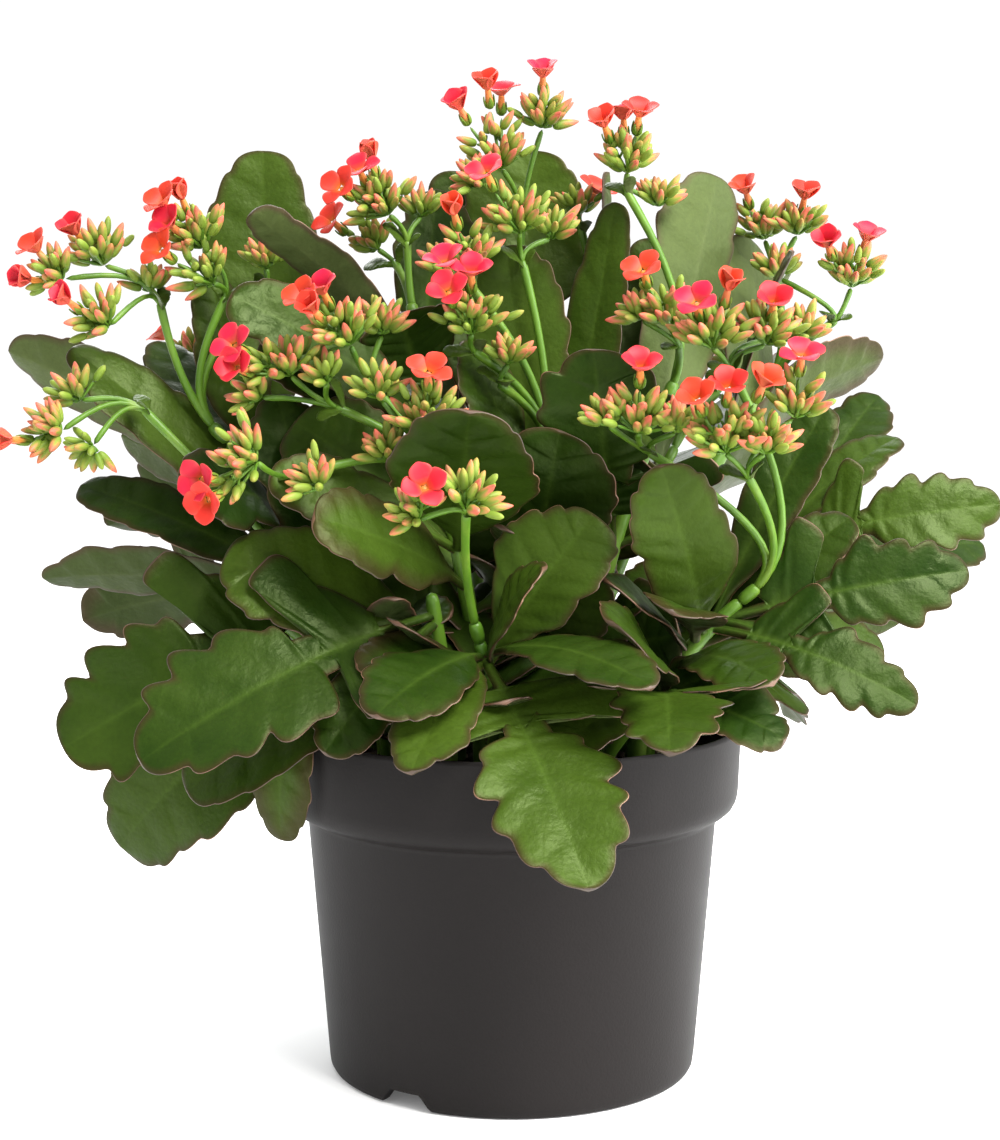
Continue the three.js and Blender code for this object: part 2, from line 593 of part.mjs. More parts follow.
// The frame of a leaf: the way out of its upper face, and the way to its left edge. Left alone, the upper
// face looks up, or inward where the leaf stands and outward where it hangs. `turn` shows more of it, or
// below 0 of the under face, to the front, or to the back on the back half.
function leafFrame(root, tip, turn) {
  const axis = tip.clone().sub(root).normalize();
  const outward = new THREE.Vector3(root.x, root.y, 0).multiplyScalar(SPREAD);
  const heading = new THREE.Vector3(axis.x, axis.y, 0).add(outward).normalize();
  const flat = axis.clone().cross(squareTo(axis, UP.clone().cross(heading)));
  const viewer = new THREE.Vector3(0, root.y > BACK_HALF ? 1 : -1, 0);
  const top = squareTo(axis, flat.multiplyScalar(1 - Math.abs(turn)).addScaledVector(viewer, turn));
  return { left: top.clone().cross(axis), top };
}

function bentTip(root, tip, [pitch, yaw], scale) {
  const reach = tip.clone().sub(root).multiplyScalar(scale);
  const heading = new THREE.Vector3(reach.x, reach.y, 0).normalize();
  const side = heading.clone().cross(UP);
  reach.applyAxisAngle(side, THREE.MathUtils.degToRad(pitch));
  reach.applyAxisAngle(UP, THREE.MathUtils.degToRad(yaw));
  return root.clone().add(reach);
}

// A blade: a thick midrib, thin edges, and the same triangles on both faces.
function bladeSolid(root, tip, width, kind, turn, bow, extra) {
  const { left, top } = leafFrame(root, tip, turn);
  const bend = root.clone().add(tip).multiplyScalar(0.5).addScaledVector(top, 2 * bow);
  const midrib = new THREE.QuadraticBezierCurve3(root, bend, tip);
  const points = [];
  const ribTop = [];
  const ribBottom = [];
  for (const station of MIDRIB_STATIONS) {
    const share = Math.min(station / MIDRIB_STATIONS[1], 1);
    const thick = PETIOLE_THICKNESS + (LEAF_THICKNESS - PETIOLE_THICKNESS) * share;
    const half = (thick + extra) / 2;
    const middle = midrib.getPoint(station);
    const isTip = station === 1;
    ribTop.push(points.push(isTip ? middle : along(middle, top, half)) - 1);
    ribBottom.push(isTip ? ribTop[ribTop.length - 1] : points.push(along(middle, top, -half)) - 1);
  }
  const stations = [0, ...OUTLINES[kind].map(([station]) => station), 1];
  const edges = [1, -1].map((hand) => stations.map((station, index) => {
    if (index === stations.length - 1) {
      return ribTop[ribTop.length - 1];
    }
    const share = index === 0 ? 0 : OUTLINES[kind][index - 1][1];
    const out = Math.max((share * width) / 2, PETIOLE_HALF_WIDTH) + extra;
    const edge = along(midrib.getPoint(station), left, hand * out);
    return points.push(edge.addScaledVector(top, CUP * (out - PETIOLE_HALF_WIDTH - extra))) - 1;
  }));
  const faces = [];
  edges.forEach((edge, hand) => {
    for (const [rib, isTop] of [[ribTop, true], [ribBottom, false]]) {
      const flip = isTop === (hand === 0);
      zip(rib, MIDRIB_STATIONS, edge, stations, (a, b, c) => faces.push(flip ? [a, b, c] : [a, c, b]));
    }
  });
  faces.push([ribTop[0], edges[0][0], ribBottom[0]], [ribTop[0], ribBottom[0], edges[1][0]]);
  return solidFromFaces(points, faces);
}

// Fills the strip between the midrib and an edge with triangles, always moving on where the next
// station is nearer.
function zip(rib, ribStations, edge, edgeStations, face) {
  let onRib = 0;
  let onEdge = 0;
  while (onRib < rib.length - 1 || onEdge < edge.length - 1) {
    const ribNext = onRib < rib.length - 1 ? ribStations[onRib + 1] : Infinity;
    const edgeNext = onEdge < edge.length - 1 ? edgeStations[onEdge + 1] : Infinity;
    const [a, b] = [rib[onRib], edge[onEdge]];
    if (ribNext <= edgeNext) {
      onRib += 1;
      if (rib[onRib] !== b) {
        face(a, rib[onRib], b);
      }
    } else {
      onEdge += 1;
      if (edge[onEdge] !== a) {
        face(a, edge[onEdge], b);
      }
    }
  }
}

// ---------------------------------------------------------------- flower heads
// Adds a ring of three corners round an axis, the first of them on the side of `toward`.
function addRing(points, middle, axis, toward, radius) {
  const start = squareTo(axis, toward);
  return [0, 1, 2].map((step) => {
    const out = start.clone().applyAxisAngle(axis, THREE.MathUtils.degToRad(120 * step));
    return points.push(along(middle, out, radius)) - 1;
  });
}

function bridge(faces, low, high) {
  for (let step = 0; step < 3; step += 1) {
    const next = (step + 1) % 3;
    faces.push([low[step], low[next], high[next]], [low[step], high[next], high[step]]);
  }
}

// A bud is a three-sided club on one face of its umbel's hub.
function growBud(points, faces, seat, centre, direction, length) {
  const toward = points[seat[0]].clone().sub(centre);
  const widest = along(centre, direction, BUD_BELLY * length);
  const belly = addRing(points, widest, direction, toward, BUD_RADIUS);
  const tip = points.push(along(centre, direction, length)) - 1;
  bridge(faces, seat, belly);
  belly.forEach((corner, step) => faces.push([corner, belly[(step + 1) % 3], tip]));
}

// An open flower on one face of the hub: a thin stalk, the calyx, the throat, and four blunt petals.
function growFlower(points, faces, seat, centre, face) {
  const facing = face.clone().sub(centre).normalize().add(vector(FLOWER_TILT)).normalize();
  const toward = squareTo(facing, points[seat[0]].clone().sub(centre));
  const calyx = addRing(points, along(face, facing, -CALYX_DEPTH), facing, toward, CALYX_RADIUS);
  const throat = addRing(points, along(face, facing, -THROAT_DEPTH), facing, toward, THROAT_RADIUS);
  bridge(faces, seat, calyx);
  bridge(faces, calyx, throat);
  const outline = [];
  for (let petal = 0; petal < 4; petal += 1) {
    for (const [turn, radius, lift] of PETAL) {
      const out = toward.clone().applyAxisAngle(facing, THREE.MathUtils.degToRad(90 * petal + turn));
      outline.push(points.push(along(along(face, facing, lift), out, radius)) - 1);
    }
  }
  const heart = points.push(along(face, facing, -HEART_DEPTH)) - 1;
  outline.forEach((corner, index) => {
    const next = outline[(index + 1) % outline.length];
    const sector = Math.floor(index / 4);
    faces.push([throat[sector], next, corner], [corner, next, heart]);
    if (index % 4 === 3) {
      faces.push([throat[sector], throat[(sector + 1) % 3], next]);
    }
  });
}

// A small hub, a regular solid of eight faces. Its lowest face is `base`, and shoots grow from the other
// seven, its seats.
function startHub(centre, axis, radius) {
  const points = [];
  const side = squareTo(axis, new THREE.Vector3(0.2, 0.5, 0.9));
  const height = radius / Math.sqrt(3);
  const width = radius * Math.sqrt(2 / 3);
  addRing(points, along(centre, axis, height), axis, side, width);
  addRing(points, along(centre, axis, -height), axis, side.clone().negate(), width);
  const upper = [[0, 1, 2], [0, 5, 1], [1, 3, 2], [2, 4, 0]];
  const lower = [[5, 3, 1], [3, 4, 2], [4, 5, 0]];
  const seats = [...upper, ...lower].map((corners, index) => {
    const middle = corners.reduce((sum, corner) => sum.add(points[corner]), new THREE.Vector3());
    const out = middle.divideScalar(3).sub(centre).normalize();
    const lift = index < upper.length ? 1 : 0.6;
    return { corners, direction: out.addScaledVector(axis, lift).normalize() };
  });
  return { centre, points, faces: [], seats, base: [3, 5, 4] };
}

// Takes the free seat that looks most nearly along a direction.
function takeSeat(hub, aim) {
  hub.seats.sort((one, other) => other.direction.dot(aim) - one.direction.dot(aim));
  return hub.seats.shift();
}

// Grows a shoot from a face of the hub through a list of middles, and closes its end.
function growShoot(hub, seat, middles, radius) {
  let before = hub.centre;
  let ring = seat;
  for (const middle of middles) {
    const direction = middle.clone().sub(before).normalize();
    const toward = hub.points[ring[0]].clone().sub(before);
    const next = addRing(hub.points, middle, direction, toward, radius);
    bridge(hub.faces, ring, next);
    before = middle;
    ring = next;
  }
  hub.faces.push(ring);
}

// An umbel: its hub's lowest face grows into the ray down to the fork, the others into flowers and buds.
function umbelSolid(fork, [place, reach, facing, budCount, flowers]) {
  const axis = vector(facing).normalize();
  const hub = startHub(vector(place), axis, UMBEL_RADIUS);
  for (const flower of flowers) {
    const face = vector(flower);
    const seat = takeSeat(hub, face.clone().sub(hub.centre).normalize());
    growFlower(hub.points, hub.faces, seat.corners, hub.centre, face);
  }
  for (let bud = 0; bud < Math.min(budCount, MOST_BUDS); bud += 1) {
    const { corners, direction } = takeSeat(hub, axis);
    const length = reach * (bud % 2 ? BUD_SHORTER : 1);
    growBud(hub.points, hub.faces, corners, hub.centre, direction, length);
  }
  growShoot(hub, hub.base, [fork], RAY_RADIUS);
  hub.seats.forEach(({ corners }) => hub.faces.push(corners));
  return solidFromFaces(hub.points, hub.faces);
}

// The stalks of a head leave one collar, just above the stem's tip, and end 1 mm beyond their forks.
function stalksSolid(curve, forks) {
  const axis = curve.getTangent(1);
  const start = along(curve.getPoint(1), axis, GAP);
  const hub = startHub(along(start, axis, COLLAR_LENGTH), axis, COLLAR_RADIUS);
  for (const fork of forks) {
    const bend = along(hub.centre, axis, STALK_BOW * fork.distanceTo(hub.centre));
    const bow = new THREE.QuadraticBezierCurve3(hub.centre, bend, fork);
    const seat = takeSeat(hub, fork.clone().sub(hub.centre).normalize());
    const end = along(fork, bow.getTangent(1), 1);
    growShoot(hub, seat.corners, [bow.getPoint(0.5), end], STALK_RADIUS);
  }
  growShoot(hub, hub.base, [start], STALK_RADIUS);
  hub.seats.forEach(({ corners }) => hub.faces.push(corners));
  return solidFromFaces(hub.points, hub.faces);
}

function headPieces(name) {
  const pieces = [stalksSolid(stemCurve(STEMS[name]), SPRAYS[name].map(([fork]) => vector(fork)))];
  for (const [fork, umbels] of SPRAYS[name]) {
    pieces.push(...umbels.map((umbel) => umbelSolid(vector(fork), umbel)));
  }
  return pieces;
}

// ---------------------------------------------------------------- placing everything
// Solids already placed, each with the node that it belongs to and its box.
const placed = [];

function place(node, solid) {
  placed.push({ node, solid, box: solid.boundingBox() });
}

function boxesMeet(one, other) {
  return [0, 1, 2].every((axis) => one.min[axis] < other.max[axis] && other.min[axis] < one.max[axis]);
}

function isClear(node, solid) {
  const box = solid.boundingBox();
  return placed.every((other) => other.node === node || !boxesMeet(box, other.box)
    || other.solid.intersect(solid).isEmpty());
}

// The first bend of a leaf that keeps it off everything outside its own stem, and its outer part off the
// leaves of its own stem.
function clearLeaf(node, stem, [, height, tipPlace, width, kind, turn, bow]) {
  const root = stemCurve(stem).getPoint(height);
  for (const scale of LEAF_SCALES) {
    for (const bend of BENDS) {
      const tip = bentTip(root, vector(tipPlace), bend, scale);
      const outer = root.clone().lerp(tip, OWN_STEM_SHARE);
      if (isClear(node, bladeSolid(root, tip, width * scale, kind, turn, bow, CLEARANCE))
        && isClear(null, bladeSolid(outer, tip, width * scale, kind, turn, bow, 0))) {
        return bladeSolid(root, tip, width * scale, kind, turn, bow, 0);
      }
    }
  }
  return null;
}

const group = new THREE.Group();

function addPot() {
  const pot = potSolid();
  const soil = soilSolid();
  place("pot", pot);
  place("soil", soil);
  group.add(meshFromSolid("pot", pot, MATERIALS.pot));
  group.add(meshFromSolid("soil", soil, MATERIALS.soil));
}

function addPlant() {
  const bodies = new Map();
  for (const [name, stem] of Object.entries(STEMS)) {
    bodies.set(name, [stemSolid(stem)]);
    place(`stem_${name}`, bodies.get(name)[0]);
  }
  for (const name of Object.keys(SPRAYS)) {
    const pieces = headPieces(name);
    pieces.forEach((piece) => place(`head_${name}`, piece));
    group.add(meshFromSolid(`head_${name}`, join(pieces), MATERIALS.flowerHead));
  }
  for (const leaf of LEAVES) {
    const [name] = leaf;
    const blade = clearLeaf(`stem_${name}`, STEMS[name], leaf);
    if (blade) {
      place(`stem_${name}`, blade);
      bodies.get(name).push(blade);
    }
  }
  for (const [name, solids] of bodies) {
    group.add(meshFromSolid(`stem_${name}`, join(solids), MATERIALS.leafyStem));
  }
}

addPot();
addPlant();

export default group;
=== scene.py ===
# A flowering kalanchoe in a plain nursery pot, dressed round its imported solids.
# Tables and lengths are in millimetres, as in the part's source, and MM turns them into metres.
# +Z is up, and -Y is the front.
import math
import random

import bpy
import numpy as np
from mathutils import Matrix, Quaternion, Vector, kdtree, noise


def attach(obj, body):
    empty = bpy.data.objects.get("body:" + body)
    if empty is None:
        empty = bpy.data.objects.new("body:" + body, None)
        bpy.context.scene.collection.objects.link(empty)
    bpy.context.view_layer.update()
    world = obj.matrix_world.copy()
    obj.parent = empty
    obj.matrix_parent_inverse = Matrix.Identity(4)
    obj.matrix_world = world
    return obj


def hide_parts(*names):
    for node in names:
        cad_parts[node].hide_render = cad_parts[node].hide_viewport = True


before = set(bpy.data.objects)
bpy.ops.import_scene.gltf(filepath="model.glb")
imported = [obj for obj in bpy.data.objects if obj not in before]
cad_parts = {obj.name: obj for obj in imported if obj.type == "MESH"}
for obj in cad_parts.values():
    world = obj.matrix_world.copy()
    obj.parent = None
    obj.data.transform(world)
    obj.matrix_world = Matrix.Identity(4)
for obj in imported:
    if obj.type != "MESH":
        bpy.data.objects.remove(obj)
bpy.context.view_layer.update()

MM = 0.001

# ---------------------------------------------------------------- camera and light
CAMERA_PLACE = (-3.4, -600, 202)
CAMERA_PITCH_DOWN = 0.1
FOCAL_PIXELS = 2130
FRAME_HEIGHT_PIXELS = 1140
SENSOR = 36
CLIP_START = 50

# Soft boxes: name, place, the point that it looks at, width and height, power in watts, and colour.
LIGHTS = [
    ("key", (520, -620, 1150), (0, 0, 150), (600, 600), 42, (1.0, 0.99, 0.97)),
    ("right", (1000, -250, 420), (0, 0, 120), (500, 900), 19, (1.0, 1.0, 1.0)),
    ("back", (-200, 900, 1000), (0, 0, 200), (900, 600), 16, (0.97, 0.99, 1.0)),
]
WORLD_STRENGTH = 1.06
FLOOR_RADIUS = 9000
FLOOR_SIDES = 48

# ---------------------------------------------------------------- pot and soil
FOOT_RADIUS = 52.4
FLOOR_UNDER = 6
FLOOR_TOP = 8
POT_SIDES = 128
# One side of a notch, as [across, height]. The notch goes this far through the foot.
NOTCH_SIDE = [(9.6, -1), (9.0, 0), (7.9, 0.8), (5.5, 4.1), (4.7, 4.8)]
NOTCH_REACH = 12
NOTCH_ANGLES = [-124, -4, 116]
DRAIN_RADIUS = 4.5
DRAIN_CIRCLE = 34
DRAIN_COUNT = 4
DRAIN_SIDES = 24
# The pot is drawn with a sharp edge where its faces meet at more than this, in degrees.
SHARP_EDGE = 38

# The pot's section, as [radius, height], from the middle of its underside round to the floor inside.
POT_SECTION = [
    [0, 0], [11, 0], [12, FLOOR_UNDER], [48, FLOOR_UNDER], [49, 0.4], [49.3, 0], [50.4, 0], [51.6, 0.5],
    [52.2, 1.6], [FOOT_RADIUS, 3], [58.1, 72.2], [58.35, 73], [59, 73.7], [60.3, 74.4], [61.8, 75.1],
    [63, 76.2], [63.8, 77.7], [64.2, 79.4], [64.35, 81], [65, 97.6], [64.95, 98.4], [64.6, 98.9],
    [64.1, 98.9], [63.7, 98.3], [63, 81], [62.4, 78], [60.6, 75.8], [57.6, 73.6], [56.9, 72.6],
    [51.2, FLOOR_TOP + 1], [50.4, FLOOR_TOP], [0, FLOOR_TOP],
]

SOIL_TOP = 86.5
SOIL_SIDES = 96
SOIL_RINGS = 26
SOIL_RADIUS = 62.6
SOIL_BUMP = 1.6
# The soil's section inside the pot, from the middle of its underside up to its surface.
SOIL_SECTION = [
    [0, FLOOR_TOP + 0.4], [50, FLOOR_TOP + 0.4], [50.6, FLOOR_TOP + 1.4], [56.3, 73], [59.5, 75.7],
    [62, 78.6], [62.5, 81],
]
CRUMBS = 420
CRUMBS_REACH = 61
CRUMB_SIZES = (0.6, 2.1)
PALE_CRUMBS = 0.12

# ---------------------------------------------------------------- the plant
# The tables are the ones of the part's source. Stalks and rays are slimmer here than in the solids, and
# the flowers turn more to the front.
STEM_SUNK = 12
STEM_FOOT_RADIUS = 3.2
STEM_TIP_RADIUS = 2
STEM_UPRIGHT = 3
STEM_LEAN = 0.45
COLLAR_LENGTH = 4
STALK_RADIUS = 1.3
STALK_BOW = 0.4
RAY_RADIUS = 0.85
FLOWER_TILT = (0, -0.6, 0.25)

# Leafy stems: the place where each leaves the soil, and its growing tip.
STEMS = {
    "a": ((-4, -30), (-9, -38, 127)),
    "b": ((-18, -22), (-22, -30, 139)),
    "c": ((34, -16), (63, -22, 136)),
    "d": ((24, -30), (45, -38, 113)),
    "e": ((-34, -8), (-59, -15, 143)),
    "f": ((4, -2), (9, 0, 170)),
    "g": ((-16, 4), (-28, 16, 212)),
    "h": ((20, 4), (44, 8, 190)),
    "i": ((38, 2), (87, 10, 158)),
    "j": ((-36, 8), (-81, 0, 179)),
    "l": ((14, 18), (24, 40, 205)),
    "m": ((34, 20), (76, 44, 192)),
    "n": ((0, 16), (2, 34, 214)),
    "o": ((-8, -10), (-18, -18, 161)),
    "p": ((-28, 24), (-62, 40, 168)),
    "q": ((-8, 32), (-14, 58, 176)),
    "r": ((22, 34), (48, 56, 170)),
    "s": ((-20, 40), (-36, 66, 126)),
    "t": ((8, 44), (24, 72, 120)),
    "u": ((-42, 22), (-84, 44, 132)),
    "v": ((45, 16), (90, 42, 130)),
}

# A leaf that grows beyond this is turned to a viewer behind the plant.
BACK_HALF = 30
# Leaves. Each one: its stem, how far up the stem it grows (0 to 1), its tip, its full width, its outline,
# the share by which it turns its upper face to the viewer, and how far its midrib bows up from straight.
LEAVES = [
    # the large leaves that hang over the rim, front and sides
    ["a", 0.88, [18, -98, 74], 40, "lobed", 0.4, 5],
    ["b", 0.88, [-95, -66, 99], 42, "lobed", 0.6, 8],
    ["d", 0.88, [44, -84, 98], 34, "lobed", 0.25, 7],
    ["e", 0.84, [-122, -30, 96], 44, "lobed", 0.8, 6],
    ["b", 0.6, [-86, -46, 87], 28, "oval", 0.5, 10],
    ["e", 0.7, [-111, -8, 64], 36, "oval", 0.8, 12],
    ["c", 0.88, [124, -24, 144], 26, "lobed", 0.7, 5],
    ["c", 0.84, [105, -44, 105], 24, "lobed", 0.6, 6],
    ["i", 0.88, [139, 4, 160], 25, "lobed", 0.7, 4],
    # the other leaves of the front and left
    ["a", 0.88, [-34, -78, 113], 25, "oval", 0.4, 4],
    ["a", 0.84, [-19, -86, 100], 20, "oval", 0.3, 5],
    ["a", 0.88, [34, -78, 120], 22, "oval", 0.3, 6],
    ["a", 0.76, [-38, -58, 122], 20, "oval", 0.4, 4],
    ["g", 0.9, [-71, -14, 241], 16, "oval", 0.2, 4],
    ["b", 0.84, [-50, -62, 104], 20, "oval", 0.6, 4],
    ["b", 0.75, [-78, -32, 147], 30, "oval", 0.6, 5],
    ["e", 0.7, [-70, -40, 78], 20, "oval", 0.5, 14],
    ["e", 0.88, [-135, 10, 139], 20, "oval", -0.5, 4],
    ["e", 0.88, [-123, 6, 165], 18, "oval", 0.5, 4],
    # the middle and upper left
    ["j", 0.8, [-146, 22, 204], 24, "oval", -0.6, 4],
    ["j", 0.7, [-115, 30, 179], 22, "oval", -0.6, 2],
    ["j", 0.5, [-123, -5, 204], 24, "oval", 0.5, 4],
    ["j", 0.75, [-88, -32, 168], 26, "oval", 0.6, 4],
    ["g", 0.84, [-31, -2, 214], 34, "oval", 0.8, -4],
    ["g", 0.75, [-77, -16, 218], 24, "oval", 0.6, 6],
    ["j", 0.88, [-73, 36, 262], 32, "oval", 0.8, -6],
    ["j", 0.84, [-86, 12, 224], 20, "oval", 0.6, -3],
    ["o", 0.84, [-11, -56, 188], 36, "oval", 0.8, 2],
    ["o", 0.84, [-58, -42, 178], 20, "oval", 0.6, 4],
    ["o", 0.7, [-56, -46, 160], 26, "oval", 0.6, 4],
    ["o", 0.84, [-54, -8, 190], 32, "oval", 0.7, 4],
    ["e", 0.8, [-78, -2, 186], 23, "oval", 0.7, 3],
    ["g", 0.75, [-70, -5, 206], 26, "oval", 0.6, 4],
    ["g", 0.88, [-23, 52, 252], 22, "oval", 0.5, -4],
    # the centre and the crown
    ["a", 0.8, [22, -34, 160], 28, "oval", 0.7, 3],
    ["a", 0.7, [8, -58, 144], 18, "oval", 0.5, 4],
    ["l", 0.88, [28, 34, 256], 16, "oval", 0.4, -3],
    ["c", 0.8, [38, -49, 174], 26, "oval", 0.75, 5],
    ["f", 0.84, [3, 4, 234], 29, "oval", 0.9, -5],
    ["f", 0.4, [30, 19, 246], 18, "oval", 0.5, -3],
    ["f", 0.8, [-14, -10, 206], 22, "oval", 0.5, 2],
    ["f", 0.6, [13, -21, 182], 36, "oval", 0.8, 2],
    ["h", 0.6, [22, -15, 204], 42, "lobed", 0.8, 4],
    ["h", 0.75, [60, 37, 255], 28, "oval", -0.7, -4],
    ["h", 0.84, [38, 38, 242], 26, "oval", 0.6, -4],
    ["n", 0.88, [5, 51, 266], 36, "oval", 0.7, -4],
    ["n", 0.6, [-19, 57, 258], 28, "oval", 0.7, -4],
    ["f", 0.3, [24, -14, 146], 30, "oval", 0.7, 2],
    ["h", 0.3, [46, -20, 126], 30, "oval", 0.8, 2],
    ["n", 0.4, [-6, 12, 170], 38, "oval", 0.8, 2],
    ["l", 0.45, [40, 16, 172], 36, "oval", 0.8, 2],
    ["g", 0.35, [-40, 4, 164], 32, "oval", 0.8, 2],
    ["o", 0.4, [-34, -26, 140], 26, "oval", 0.6, 3],
    # the right
    ["c", 0.84, [88, -5, 188], 18, "oval", 0.6, 3],
    ["c", 0.75, [41, -56, 140], 22, "oval", 0.5, 4],
    ["c", 0.6, [62, -60, 118], 22, "oval", 0.4, 5],
    ["d", 0.88, [20, -60, 130], 26, "oval", 0.5, 4],
    ["d", 0.8, [12, -74, 110], 18, "oval", 0.3, 5],
    ["d", 0.8, [70, -58, 103], 22, "oval", 0.4, 5],
    ["c", 0.88, [96, -36, 116], 13, "oval", 0.5, 5],
    ["c", 0.7, [106, 2, 118], 22, "oval", 0.6, 4],
    ["i", 0.8, [140, 30, 146], 22, "oval", 0.6, 4],
    ["i", 0.84, [113, 23, 178], 16, "oval", 0.4, 4],
    ["i", 0.88, [110, 40, 190], 20, "oval", 0.6, 3],
    ["c", 0.6, [88, -18, 164], 22, "oval", 0.6, 3],
    ["i", 0.7, [88, -8, 146], 18, "oval", 0.6, 2],
    ["m", 0.88, [72, 56, 238], 28, "oval", 0.6, -4],
    ["m", 0.84, [80, 14, 232], 14, "oval", -0.3, 2],
    # the back
    ["p", 0.88, [-126, 62, 150], 36, "lobed", 0.5, 6],
    ["u", 0.88, [-134, 62, 120], 38, "lobed", 0.6, 8],
    ["v", 0.88, [122, 68, 118], 38, "lobed", 0.6, 8],
    ["q", 0.88, [-16, 118, 182], 34, "lobed", 0.4, 6],
    ["r", 0.88, [60, 116, 166], 34, "lobed", 0.4, 6],
    ["s", 0.88, [-46, 120, 94], 42, "lobed", 0.2, 12],
    ["t", 0.88, [30, 122, 88], 42, "lobed", 0.2, 12],
    ["p", 0.88, [-98, 72, 210], 28, "oval", 0.6, -4],
    ["p", 0.75, [-78, 102, 150], 28, "oval", 0.4, 5],
    ["p", 0.5, [-102, 70, 106], 30, "lobed", 0.5, 8],
    ["p", 0.84, [-40, 78, 212], 26, "oval", 0.6, -4],
    ["q", 0.88, [-22, 84, 234], 28, "oval", 0.6, -5],
    ["q", 0.75, [-50, 104, 176], 26, "oval", 0.4, 5],
    ["q", 0.75, [20, 106, 168], 28, "oval", 0.4, 5],
    ["q", 0.5, [-12, 110, 124], 32, "lobed", 0.4, 8],
    ["r", 0.88, [62, 78, 226], 28, "oval", 0.6, -4],
    ["r", 0.75, [100, 84, 174], 28, "oval", 0.5, 5],
    ["r", 0.5, [52, 106, 122], 30, "lobed", 0.4, 8],
    ["s", 0.8, [-82, 98, 110], 30, "oval", 0.5, 6],
    ["s", 0.84, [-8, 106, 102], 24, "oval", 0.2, 6],
    ["s", 0.8, [-54, 84, 148], 24, "oval", 0.5, 3],
    ["t", 0.84, [2, 104, 128], 22, "oval", 0.4, 5],
    ["t", 0.8, [70, 98, 102], 30, "oval", 0.4, 6],
    ["t", 0.8, [38, 98, 140], 24, "oval", 0.5, 3],
    ["u", 0.8, [-108, 90, 124], 28, "oval", 0.5, 5],
    ["u", 0.5, [-102, 52, 86], 34, "lobed", 0.5, 10],
    ["v", 0.8, [96, 94, 134], 28, "oval", 0.5, 5],
    ["v", 0.5, [86, 62, 90], 32, "lobed", 0.5, 10],
    ["l", 0.84, [36, 84, 210], 26, "oval", 0.5, 4],
    ["m", 0.84, [114, 58, 202], 26, "oval", 0.5, 4],
    ["m", 0.8, [84, 90, 200], 26, "oval", 0.5, 4],
    ["n", 0.8, [0, 84, 224], 26, "oval", 0.6, -3],
    ["j", 0.84, [-104, 38, 206], 26, "oval", 0.4, -3],
    ["g", 0.8, [-50, 58, 204], 26, "oval", 0.5, 3],
]

# The bends and the shorter lengths that the source may have given to a leaf whose place was taken.
# Each bend is a pitch and a turn about +Z, in degrees.
BENDS = [
    [0, 0], [5, 0], [-5, 0], [0, 7], [0, -7], [8, 7], [8, -7], [-8, 7], [-8, -7], [13, 0], [-13, 0],
    [0, 15], [0, -15], [16, 12], [16, -12], [-16, 12], [-16, -12], [24, 0], [-24, 0], [0, 26], [0, -26],
    [26, 20], [26, -20], [-26, 20], [-26, -20],
]
LEAF_SCALES = [1, 0.86, 0.72]
# A leaf's own corners lie nearer than this to the places that its bend gives.
MATCH = 0.3
# One long leaf lies over, with its underside to the front.
TIPPED_LEAF = ("g", 0.9)
TIPPED_TURN = -0.55
# How fast a blade rises beside its midrib, and how much it faces away from the pot's axis.
CUP = 0.16
SPREAD = 0.004
PETIOLE_HALF_WIDTH = 1.5
# The station along the midrib where the solid's leaf is widest.
WIDEST = {"oval": 0.68, "lobed": 0.64}
# Young leaves beside each stem: how far out from it they reach, their widths, and how far from the pot's
# axis and how high their tips may lie.
INNER_LEAVES = 7
INNER_REACHES = (22, 34)
INNER_WIDTHS = (13, 20)
INNER_RADIUS = 66
INNER_TOP = 190

